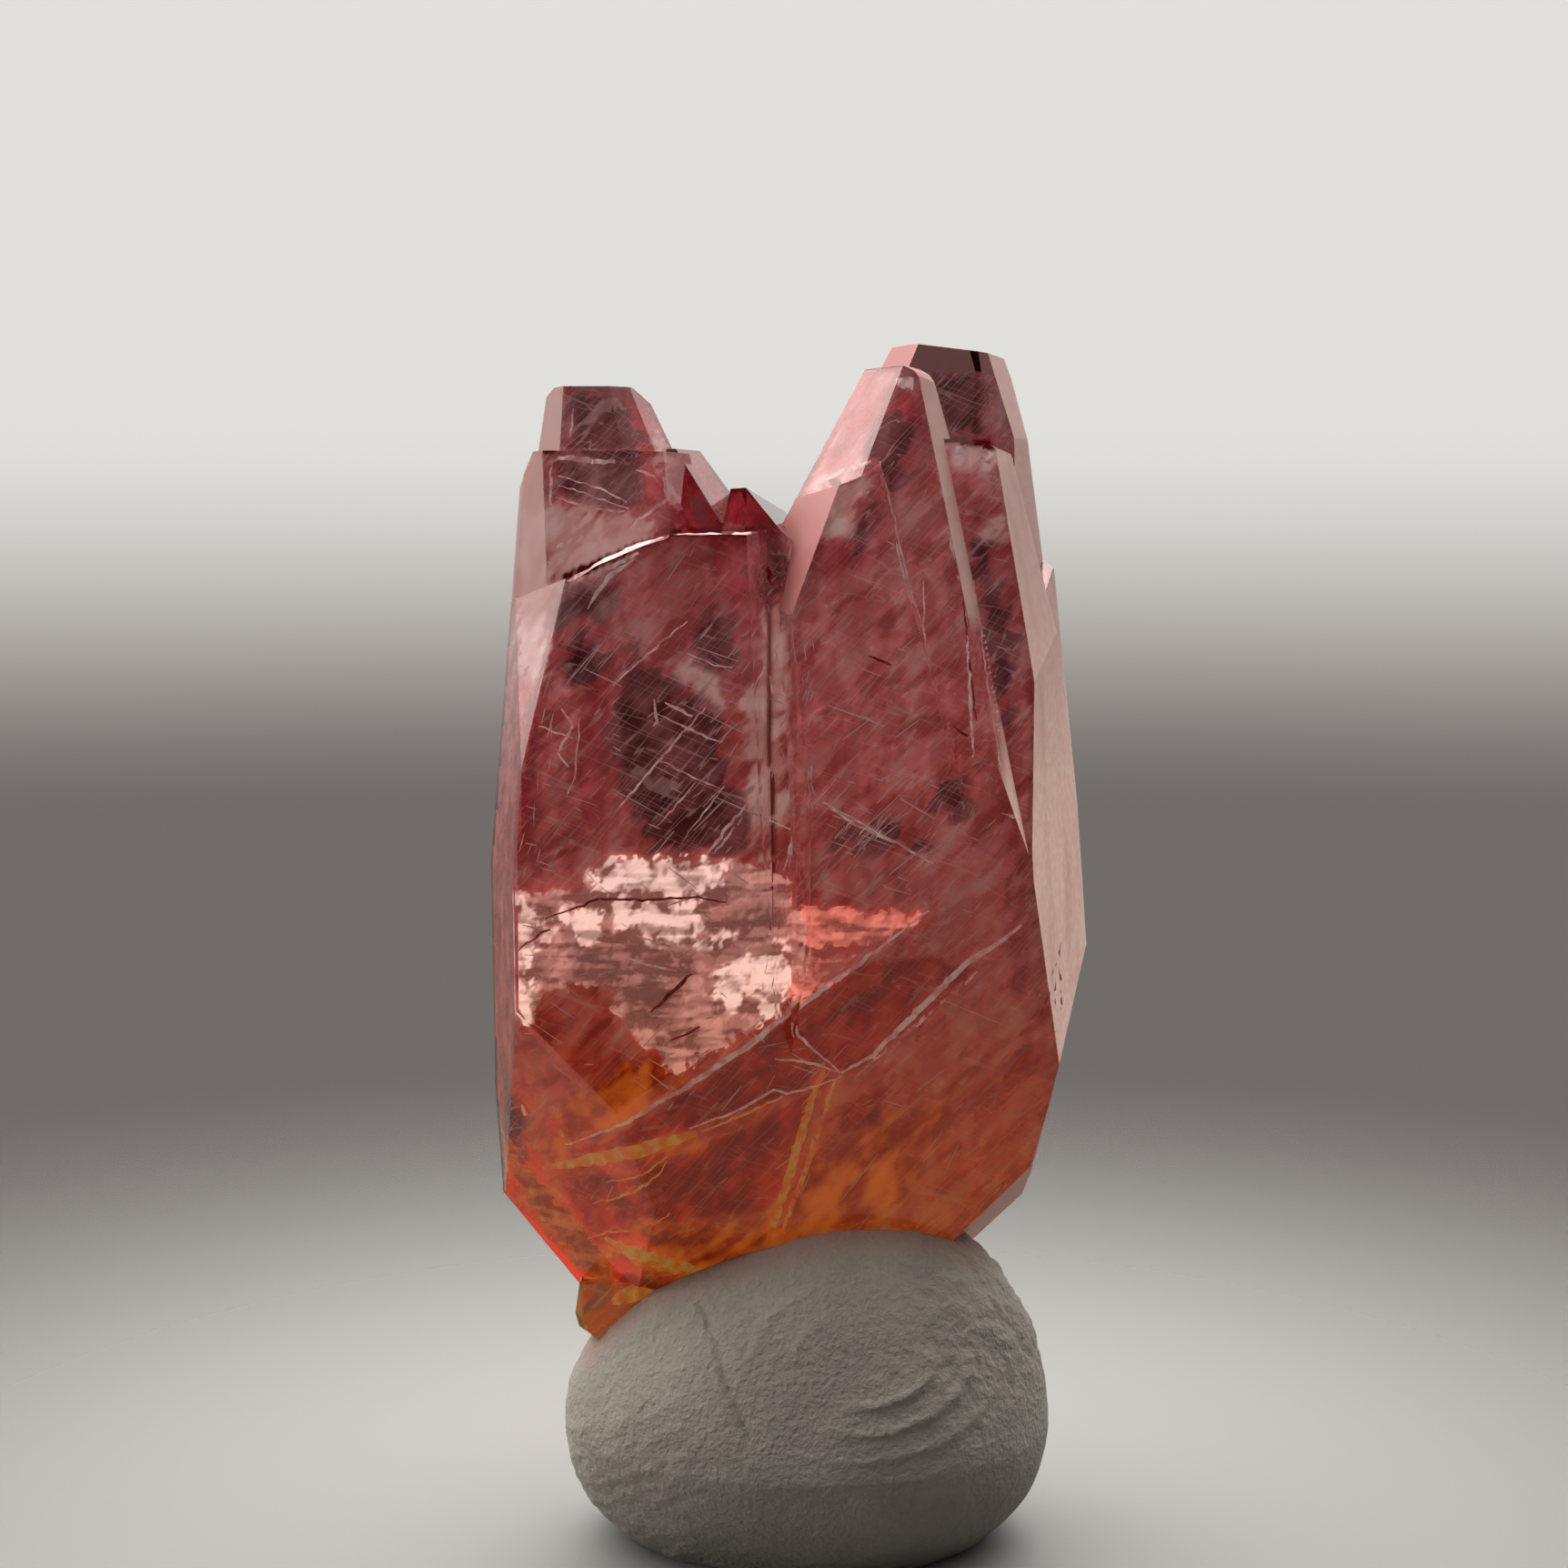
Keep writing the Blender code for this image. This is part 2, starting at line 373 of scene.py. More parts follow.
def net(name, middle, width, height, cell):
    """Lay a flat upright net of small faces that looks to the front."""
    deselect()
    bpy.ops.mesh.primitive_grid_add(x_subdivisions=max(2, round(width / cell)),
                                    y_subdivisions=max(2, round(height / cell)), size=1)
    piece = bpy.context.object
    piece.name = name
    piece.scale = (width * MM, height * MM, 1)
    piece.location = Vector((middle[0], 0, middle[1])) * MM
    piece.rotation_euler = (math.radians(90), 0, 0)
    settle(piece)
    return piece


def trim(piece, solid, margin):
    """Take off what comes closer than margin to the outside of a solid."""
    tree = BVHTree.FromObject(solid, bpy.context.evaluated_depsgraph_get())

    def outside(centre, normal):
        spot, facing, _, distance = tree.find_nearest(centre)
        return (centre - spot).dot(facing) > 0 or distance < margin * MM

    drop_faces(piece, outside)


def join(pieces, name):
    """Join objects into one piece."""
    deselect()
    for piece in pieces:
        piece.select_set(True)
    bpy.context.view_layer.objects.active = pieces[0]
    bpy.ops.object.join()
    pieces[0].name = name
    return pieces[0]


def inside_by(spots, outline):
    """Return how far places lie inside an outline, and less than 0 where they lie outside."""
    nearest = np.full(len(spots), 1e9)
    within = np.zeros(len(spots), dtype=bool)
    for a, b in zip(outline, np.roll(outline, -1, axis=0)):
        along = b - a
        share = np.clip(((spots - a) @ along) / (along @ along), 0, 1)
        nearest = np.minimum(nearest, np.linalg.norm(spots - a - share[:, None] * along, axis=1))
        crosses = (a[1] > spots[:, 1]) != (b[1] > spots[:, 1])
        slope = along[0] / along[1] if along[1] else 0.0
        within ^= crosses & (spots[:, 0] < a[0] + (spots[:, 1] - a[1]) * slope)
    return np.where(within, nearest, -nearest)


def mark(piece, name, outlines):
    """Store on each vertex how far it lies inside the nearest of the outlines, in millimetres."""
    spots = np.array([(vert.co.x, vert.co.z) for vert in piece.data.vertices]) / MM
    reach = np.max([inside_by(spots, np.array(outline)) for outline in outlines], axis=0)
    store(piece, name, reach)


def speckle(piece, name, stretch, roughness, octaves, warp=0.0, lean=0.0):
    """Store noise on each vertex, from 0 to 1 about 0.5, with folds stretched in millimetres."""
    noise.seed_set(1)
    fade = -math.log2(roughness)
    turned = Matrix.Rotation(math.radians(lean), 3, "Y")
    values = []
    for vert in piece.data.vertices:
        spot = Vector([part / (MM * reach) for part, reach in zip(turned @ vert.co, stretch)])
        if warp:
            spot += noise.noise_vector(spot) * warp
        values.append(0.5 + 0.29 * noise.fractal(spot, fade, 2.0, octaves))
    store(piece, name, values)


def fade_rim(piece, name):
    """Store how far each vertex is from the sheet's edge: 0 at the edge, 1 from two cells on."""
    mesh = bmesh.new()
    mesh.from_mesh(piece.data)
    inwards = []
    for vert in mesh.verts:
        beside = any(edge.other_vert(vert).is_boundary for edge in vert.link_edges)
        inwards.append(0.0 if vert.is_boundary else 0.6 if beside else 1.0)
    mesh.free()
    store(piece, name, inwards)


def keep_marked(piece, name, margin):
    """Delete the faces whose mark lies further than margin outside."""
    edit(piece)
    mesh = bmesh.from_edit_mesh(piece.data)
    layer = mesh.verts.layers.float[name]
    for face in mesh.faces:
        face.select_set(max(vert[layer] for vert in face.verts) < -margin)
    bmesh.update_edit_mesh(piece.data)
    bpy.ops.mesh.delete(type="FACE")
    object_mode()


class Front:
    """Finds places at a depth behind the front faces of the crystals."""

    def __init__(self, group):
        self.tree = BVHTree.FromObject(group, bpy.context.evaluated_depsgraph_get())

    def behind(self, across, up, depth):
        """Return the place behind the front at (across, up), or None beside the crystals."""
        start = Vector((across, -20, up)) * MM
        hit, _, _, _ = self.tree.ray_cast(start, Vector((0, 1, 0)))
        return None if hit is None else hit + Vector((0, depth * MM, 0))

    def holds(self, place, margin=0.06):
        """Tell whether a place lies inside, further than margin from every face."""
        near, facing, _, distance = self.tree.find_nearest(place)
        return (place - near).dot(facing) < 0 and distance > margin * MM


def hang(front, name, middle, width, height, depth, cell, push, sharp=False, margin=0.1):
    """Hang a net at a depth behind the front faces, which it follows."""
    veil = net(name, middle, width, height, cell)
    for vert in veil.data.vertices:
        place = front.behind(vert.co.x / MM, vert.co.z / MM, depth)
        fold = noise.fractal(vert.co / (1.1 * MM), 0.9, 2.1, 4)
        fold = 1 - 2 * abs(fold) if sharp else fold
        vert.co.y = OFF_FRONT if place is None else place.y + push * fold * MM
    drop_faces(veil, lambda centre, normal: centre.y < BEFORE_FRONT or abs(normal.y) < 0.12)
    trim(veil, crystal_group(), margin)
    return veil


# Settings

class CrystalSettings(bpy.types.PropertyGroup):
    edge_width: FloatProperty(name="Edge width", description="Width of the worn line along each edge",
                              default=0.035 * MM, unit="LENGTH", precision=6)
    refraction: FloatProperty(name="Refraction", description="Index of refraction of the crystal",
                              default=1.68)
    depth_colour: FloatVectorProperty(name="Depth colour", subtype="COLOR", size=3,
                                      description="Light that a thick crystal lets through",
                                      default=(0.76, 0.23, 0.15))
    depth_strength: FloatProperty(name="Depth strength", default=400.0,
                                  description="How fast the crystal darkens with depth, per metre")


class FlawSettings(bpy.types.PropertyGroup):
    cloudiness: FloatProperty(name="Cloudiness", description="How much the veils hide", default=0.75,
                              min=0.0, max=1.0, subtype="FACTOR")


class PuttySettings(bpy.types.PropertyGroup):
    ridge_height: FloatProperty(name="Ridge height", description="Height of the finger ridges",
                                default=0.045 * MM, unit="LENGTH", precision=6)
    lit: FloatVectorProperty(name="Putty colour", subtype="COLOR", size=3,
                             description="Colour of the putty", default=(0.235, 0.212, 0.180))


class StageSettings(bpy.types.PropertyGroup):
    floor_radius: FloatProperty(name="Floor radius", description="Reach of the pale floor",
                                default=0.055, unit="LENGTH")
    floor_colour: FloatVectorProperty(name="Floor colour", subtype="COLOR", size=3,
                                      description="Colour of the floor", default=(0.19, 0.185, 0.176))


# Pieces

class RHODO_OT_crystal(bpy.types.Operator):
    """Make the clear crystal group, with worn edges"""

    bl_idname = "rhodo.crystal"
    bl_label = "Crystals"

    def execute(self, context):
        look = context.scene.rhodo_crystal
        piece = whole_copy("crystal", "crystal_group")
        apply(piece, "BEVEL", width=look.edge_width, segments=2, limit_method="ANGLE",
              angle_limit=math.radians(12), use_clamp_overlap=True, miter_outer="MITER_ARC")
        apply(piece, "TRIANGULATE")
        adopt(piece, self.finish(look), "crystal", "crystal")
        return {"FINISHED"}

    def finish(self, look):
        """Clear, rose at the tips, red in the middle and orange at the foot."""
        made = Finish.material("clear_rose_crystal")
        place = made.place()
        x, _, z = made.parts(place)
        colour = made.ramp(made.height(place), [
            (0.00, (1.00, 0.66, 0.14)), (0.22, (1.00, 0.60, 0.26)), (0.42, (0.97, 0.62, 0.57)),
            (0.70, (0.92, 0.66, 0.70)), (1.00, (0.86, 0.64, 0.70)),
        ])
        spires = x.rise(-3.0, -2.4) * x.rise(0.1, -0.3) * z.rise(21.3, 22.3)
        colour = made.mix(spires, colour, (0.48, 0.08, 0.12))
        volume = made.node("ShaderNodeVolumeAbsorption", None, {
            "Color": tuple(look.depth_colour), "Density": look.depth_strength,
        })
        return made.surface(volume.outputs[0], base_color=colour, roughness=0.04,
                            specular_tint=(1.0, 0.6, 0.55), ior=look.refraction,
                            transmission_weight=1.0)


class RHODO_OT_veils(bpy.types.Operator):
    """Lay cloudy veils inside, with painted dark windows and painted glow, and frost the pale faces"""

    bl_idname = "rhodo.veils"
    bl_label = "Veils"

    # Outlines, as (across, up) in millimetres, of what shows through the front
    # Painted shade: dark windows where the clear crystal shows darkness instead of light
    PLUM = (
        ((-4.63, 25.09), (-3.68, 25.05), (-3.41, 24.32), (-3.32, 23.67), (-3.88, 23.76),
         (-4.73, 24.00), (-4.67, 24.59)),
        ((-4.69, 20.23), (-4.37, 20.42), (-3.99, 20.05), (-4.00, 19.39), (-4.28, 19.11),
         (-4.81, 19.20), (-4.76, 19.77)),
        ((-1.93, 20.70), (-1.46, 20.89), (-1.16, 20.23), (-1.28, 19.63), (-1.84, 19.52),
         (-2.12, 20.05)),
        ((-3.38, 19.39), (-3.15, 19.77), (-2.78, 19.20), (-2.65, 19.07), (-1.84, 18.73),
         (-1.38, 18.17), (-1.23, 17.23), (-1.00, 16.66), (-0.87, 15.81), (-1.76, 15.71),
         (-3.17, 15.81), (-3.36, 16.66), (-3.69, 17.23), (-3.72, 18.55)),
        ((-0.62, 22.34), (-0.19, 22.19), (-0.15, 21.17), (-0.49, 20.57), (-0.79, 20.89),
         (-0.71, 21.73)),
        ((2.59, 25.92), (3.78, 25.79), (4.21, 25.31), (4.31, 24.26), (3.23, 24.34), (3.08, 25.09),
         (2.67, 25.55)),
        ((2.04, 24.46), (2.75, 24.54), (2.60, 23.71), (2.18, 23.08), (2.05, 23.01), (1.93, 23.63)),
        ((1.69, 23.28), (1.84, 22.73), (1.34, 21.41), (1.29, 21.54), (1.49, 22.65)),
        ((3.88, 21.91), (4.29, 21.91), (4.45, 21.17), (4.64, 20.05), (4.73, 18.17), (4.59, 17.89),
         (4.35, 18.92), (4.06, 20.42)),
        ((0.94, 16.39), (2.28, 16.09), (2.77, 15.81), (0.87, 15.81)),
        ((3.07, 17.17), (3.69, 17.02), (3.58, 16.39), (2.86, 16.47)),
        ((-6.15, 10.69), (-5.94, 10.54), (-5.59, 9.95), (-5.69, 8.89), (-6.17, 8.89), (-6.30, 9.57)),
        ((-4.43, 6.29), (-3.90, 6.15), (-3.84, 5.76), (-4.09, 5.31), (-4.38, 5.36)),
    )
    # Painted shade: greyish dark parts near the left tips, where the clear crystal shows darkness
    SMOKE = (
        ((-4.99, 23.71), (-3.32, 23.63), (-3.23, 22.80), (-3.51, 22.65), (-4.25, 22.80),
         (-5.04, 23.02)),
        ((-2.17, 23.02), (-1.83, 22.88), (-1.76, 22.36), (-2.09, 22.47)),
        ((-5.01, 21.17), (-4.27, 21.07), (-3.52, 21.17), (-3.81, 20.23), (-4.27, 20.42),
         (-4.93, 20.05)),
    )
    WINE = (
        ((-3.64, 25.11), (-3.18, 25.07), (-2.82, 23.36), (-2.61, 23.32), (-3.06, 22.62),
         (-3.28, 23.02), (-3.32, 23.63)),
        ((-2.44, 23.80), (-1.96, 23.80), (-1.29, 22.89), (-1.22, 22.21), (-1.83, 22.36),
         (-2.78, 22.93)),
        ((-1.16, 23.02), (-0.47, 22.89), (0.07, 22.41), (0.13, 21.82), (-0.08, 20.59), (-0.21, 21.13),
         (-0.75, 22.36), (-1.22, 22.21)),
        ((-1.70, 22.08), (-0.75, 22.21), (-0.75, 20.18), (-1.17, 19.92), (-1.57, 21.28)),
        ((-4.17, 19.58), (-3.68, 19.50), (-3.77, 16.83), (-4.12, 15.81), (-4.45, 16.98)),
        ((-5.82, 19.30), (-5.26, 18.73), (-5.21, 16.49), (-5.35, 15.39), (-5.97, 15.39),
         (-5.80, 17.60)),
        ((2.03, 25.92), (2.59, 25.92), (2.67, 25.55), (1.83, 25.55)),
        ((1.61, 24.83), (2.45, 25.14), (2.78, 24.78), (2.86, 24.22), (2.45, 24.59), (2.00, 24.54),
         (1.33, 24.22)),
        ((3.19, 24.17), (3.36, 24.10), (3.92, 20.91), (3.81, 20.85)),
        ((0.37, 22.10), (1.25, 22.10), (1.29, 21.54), (0.97, 21.17), (0.41, 21.45)),
        ((4.17, 17.60), (4.59, 17.79), (4.75, 16.28), (4.95, 14.38), (5.01, 12.46), (4.59, 12.66),
         (4.38, 15.14)),
    )
    MILK = (
        ((-5.15, 22.76), (-3.40, 22.56), (-2.92, 21.95), (-3.46, 21.61), (-4.08, 21.28),
         (-5.02, 20.98), (-5.24, 21.17), (-5.23, 22.21)),
        ((-5.77, 22.65), (-5.19, 22.65), (-4.96, 21.17), (-4.97, 19.24), (-5.78, 19.24)),
        ((3.23, 24.34), (4.14, 24.26), (4.46, 23.91), (4.22, 23.50), (3.59, 23.56), (3.31, 23.98)),
        ((4.15, 22.60), (4.57, 22.45), (4.51, 22.04), (4.08, 21.97)),
        ((0.85, 23.36), (1.84, 23.56), (1.77, 23.36), (1.41, 22.10), (0.29, 22.10)),
        ((-2.52, 19.58), (-1.97, 19.50), (-1.30, 18.55), (-1.58, 18.41), (-2.25, 19.17)),
        ((-0.68, 20.66), (-0.08, 20.72), (-0.00, 20.05), (-0.55, 19.82)),
        ((-3.12, 25.07), (-2.87, 24.59), (-2.48, 23.82), (-2.63, 23.41), (-2.83, 23.49)),
        ((-1.09, 18.92), (-0.43, 20.05), (-0.00, 20.23), (-0.04, 16.28), (-0.44, 15.52),
         (-0.81, 16.28)),
    )
    RUST = (
        ((-4.64, 9.08), (-3.40, 9.84), (-2.06, 10.67), (-0.91, 11.46), (0.04, 12.19), (0.70, 11.50),
         (0.42, 10.57), (-0.34, 10.30), (-2.06, 9.70), (-3.21, 9.41), (-4.36, 9.02)),
        ((-4.90, 8.40), (-3.21, 8.75), (-1.87, 9.30), (-0.34, 9.99), (0.51, 10.48), (0.23, 9.47),
         (-0.12, 8.40), (-0.44, 7.82), (-1.30, 7.62), (-3.22, 7.72), (-3.41, 7.23), (-4.18, 6.74)),
        ((0.09, 12.46), (1.21, 13.17), (2.97, 13.46), (3.96, 13.12), (3.07, 12.27), (1.58, 11.04),
         (0.87, 10.83), (0.30, 11.69)),
        ((1.01, 10.11), (2.13, 10.54), (1.85, 9.66), (1.09, 9.47)),
        ((-3.84, 6.29), (-2.84, 6.05), (-1.50, 6.25), (-2.27, 5.66), (-3.23, 5.56), (-3.76, 5.86)),
    )
    # Painted glow: orange light in the lower crystal, as if lit from below, given both as colour and as light
    # given off
    GLOW = (
        ((-5.18, 9.18), (-4.69, 10.19), (-3.33, 11.21), (-2.21, 11.27), (-2.12, 10.69), (-3.13, 10.03),
         (-4.35, 9.33)),
        ((-5.05, 8.75), (-3.50, 9.18), (-1.93, 9.61), (-1.87, 9.39), (-3.42, 8.96), (-4.97, 8.63)),
        ((-3.82, 6.72), (-3.51, 6.88), (-2.80, 6.66), (-1.65, 6.37), (-1.88, 6.15), (-2.80, 6.29),
         (-3.65, 6.50)),
        ((0.38, 8.79), (1.18, 9.33), (2.23, 9.76), (3.28, 10.25), (3.51, 9.76), (2.90, 8.79),
         (2.33, 7.82), (1.67, 7.39), (0.23, 7.39), (-0.12, 7.07)),
        ((4.32, 10.40), (4.89, 11.19), (5.31, 11.19), (4.69, 10.26)),
        ((-4.02, 5.27), (-3.51, 5.86), (-2.73, 5.56), (-3.31, 5.21)),
        ((-3.22, 7.42), (-2.07, 7.13), (-0.35, 7.62), (-0.12, 7.07), (-1.31, 6.29), (-2.46, 6.64)),
    )

    def execute(self, context):
        look = context.scene.rhodo_flaws
        near = hang(Front(crystal_group()), "near_veil", (0, 14.5), 13.2, 22.5, 0.40, 0.08, 0.06, margin=0.03)
        for name in ("PLUM", "SMOKE", "WINE", "MILK", "RUST", "GLOW"):
            mark(near, name.lower(), getattr(self, name))
        speckle(near, "mottle", (1.5, 0.6, 0.42), 0.70, 4, 0.3, 40)
        speckle(near, "upright", (0.55, 0.6, 1.1), 0.62, 3)
        fade_rim(near, "rim")
        adopt(near, self.haze(look), "crystal")
        pale = self.over_faces("pale_facets", 0.012, self.is_pale)
        adopt(pale, self.frosted(), "crystal")
        broken = self.over_faces("broken_faces", 0.010, self.is_broken)
        adopt(broken, self.broken(), "crystal")
        return {"FINISHED"}

    @staticmethod
    def is_broken(centre, normal):
        """Tell the breaks at the foot that look away from the front."""
        return normal.z < -0.2 and normal.y > -0.35

    @staticmethod
    def is_pale(centre, normal):
        """Tell the frosted faces: those to the right, some to the left, and the highest tip."""
        if looks(normal, RIGHT, 8):
            return centre.x > 2.6 * MM
        spire = centre.x > -0.8 * MM and centre.z > 19 * MM
        far = centre.x < -4.2 * MM and centre.z > 10 * MM
        top = normal.z > 0.3 and centre.z > 25.2 * MM
        return top or (looks(normal, LEFT, 14) and (spire or far))

    @staticmethod
    def over_faces(name, lift, test):
        """Copy the faces that pass a test to a skin that lies just over them."""
        piece = copy_of(crystal_group(), name)
        drop_faces(piece, lambda centre, normal: not test(centre, normal))
        normals = [vert.normal.copy() for vert in piece.data.vertices]
        for vert, normal in zip(piece.data.vertices, normals):
            vert.co += normal * lift * MM
        return piece

    @staticmethod
    def streaks(made):
        """Two crossing sets of fine straight streaks, each from 0 to 1."""
        rising = made.cloud(made.place((0.13, 0.4, 2.6), (0, 42, 0)), 1.0, 0)
        falling = made.cloud(made.place((0.16, 0.4, 3.0), (0, -68, 0)), 1.0, 0)
        return (rising - 0.5).size().rise(0.030, 0.005), (falling - 0.5).size().rise(0.022, 0.004)

    def haze(self, look):
        """Pink milkiness close behind the front, with red and pale parts, dark parts that are painted shade,
        orange parts that are painted glow, and a faint painted glow all over.
        """
        made = Finish.material("near_haze")
        height = made.height(made.place())
        body = made.ramp(height, [
            (0.00, (1.00, 0.20, 0.02)), (0.16, (1.00, 0.16, 0.03)), (0.32, (1.00, 0.15, 0.09)),
            (0.48, (1.00, 0.24, 0.21)), (0.70, (0.98, 0.25, 0.24)), (1.00, (0.80, 0.26, 0.26)),
        ])
        light = made.ramp(height, [
            (0.00, (1.00, 0.55, 0.12)), (0.30, (1.00, 0.48, 0.30)), (0.50, (1.00, 0.72, 0.66)),
            (1.00, (0.98, 0.80, 0.78)),
        ])
        upright = made.attribute("upright")
        mottle = made.attribute("mottle")
        ragged = mottle - 0.5
        rising, falling = self.streaks(made)
        lines = (rising + falling * 0.8).least(1.0)
        shine = upright.rise(0.45, 0.8) * 0.35 + mottle.rise(0.42, 0.8) * 0.3 + lines * 0.35
        colour = made.mix(shine.least(1.0), body, light)
        dull = mottle.rise(0.50, 0.36)
        colour = made.mix(dull * 0.3, colour, (0.50, 0.06, 0.06))

        def part(name, soft=0.05, rag=0.35):
            return (made.attribute(name) + ragged * rag).rise(-soft, soft)

        tone = ((upright + mottle) * 0.5).rise(0.36, 0.66)
        milk, wine, rust = part("milk", 0.12, 1.0), part("wine", 0.08, 0.7), part("rust", 0.10, 0.5)
        glow, plum, smoke = part("glow", 0.16, 0.9), part("plum", 0.16, 1.4), part("smoke", 0.10)
        # The wine, rust and milk parts take the crystal's own colours; the dark windows and grey parts are
        # painted shade, and the glow parts are painted glow
        for share, dark, bright in (
            (wine * 0.92, (0.60, 0.07, 0.085), (1.0, 0.24, 0.25)),
            (rust * 0.88, (0.30, 0.006, 0.001), (0.85, 0.06, 0.02)),
            (milk * 0.85, (0.80, 0.42, 0.37), (1.0, 0.84, 0.76)),
            (glow * 0.92, (0.75, 0.05, 0.003), (1.0, 0.28, 0.03)),
            (smoke * 0.85, (0.14, 0.06, 0.06), (0.60, 0.40, 0.38)),
            (plum * 0.96, (0.07, 0.02, 0.022), (0.44, 0.17, 0.175)),
        ):
            colour = made.mix(share, colour, made.mix(tone, dark, bright))
        colour = made.mix(lines * (0.3 + plum * 0.25), colour, light)
        alpha = look.cloudiness + upright.rise(0.4, 0.6) * 0.25 - dull * 0.15
        for share in (wine * 0.9, rust * 0.9, milk * 0.88, glow * 0.95, smoke * 0.8, plum * 0.86,
                      lines * 0.55):
            alpha = alpha.most(share)
        alpha = alpha * made.attribute("rim").rise(0.1, 0.9)
        # Painted glow: the haze gives off light in its own colour, more in the milky parts and toward the
        # foot, and orange in the glow parts
        shine = made.mix(0.54 - milk * 0.38 - height.rise(0.45, 0.1) * 0.25, colour, (0, 0, 0))
        painted_glow = made.mix(glow, shine, made.mix(tone, (0.30, 0.03, 0.002), (1.0, 0.26, 0.04)))
        return made.surface(base_color=colour, roughness=0.6, alpha=alpha, specular_ior_level=0.0,
                            emission_color=painted_glow, emission_strength=0.3)

    def broken(self):
        """Rough red-brown breaks round the foot."""
        made = Finish.material("broken_face")
        place = made.place()
        x, _, _ = made.parts(place)
        grain = made.cloud(place, 3.4, 2, 0.75)
        colour = made.mix(grain.rise(0.30, 0.75), (0.28, 0.035, 0.016), (0.66, 0.17, 0.07))
        colour = made.mix(x.rise(3.0, 5.0) * 0.7, colour, (0.50, 0.16, 0.12))
        return made.surface(base_color=colour, roughness=0.5, alpha=0.75,
                            normal=made.bump(grain, 0.05, 0.5))

    def frosted(self):
        """Pale pink frosting, darker toward the tips and clear where the photograph shows it so."""
        made = Finish.material("frosted_face")
        place = made.place()
        x, _, z = made.parts(place)
        speck = made.cloud(place, 5.0, 2, 0.65)
        band = made.cloud(made.place((1.2, 1.2, 5.0)), 1.0, 1)
        far_left = x.rise(-3.0, -4.0)
        spire = x.rise(-1.2, -0.9) * x.rise(3.2, 2.6)
        colour = made.mix(speck.rise(0.35, 0.7), (0.98, 0.58, 0.50), (1.0, 0.78, 0.68))
        colour = made.mix(z.rise(15.0, 22.0) * 0.75, colour, (0.42, 0.24, 0.22))
        colour = made.mix(far_left, colour, (0.40, 0.20, 0.17))
        colour = made.mix(spire, colour, (0.45, 0.16, 0.15))
        inner = (x.rise(4.6, 4.2) * z.rise(20.9, 19.9)).most(far_left * z.rise(14.6, 13.2))
        alpha = (band.rise(0.1, 0.5) * 0.25 + 0.55) * (1 - inner) * (1 - far_left * 0.35)
        return made.surface(base_color=colour, roughness=0.55, alpha=alpha)


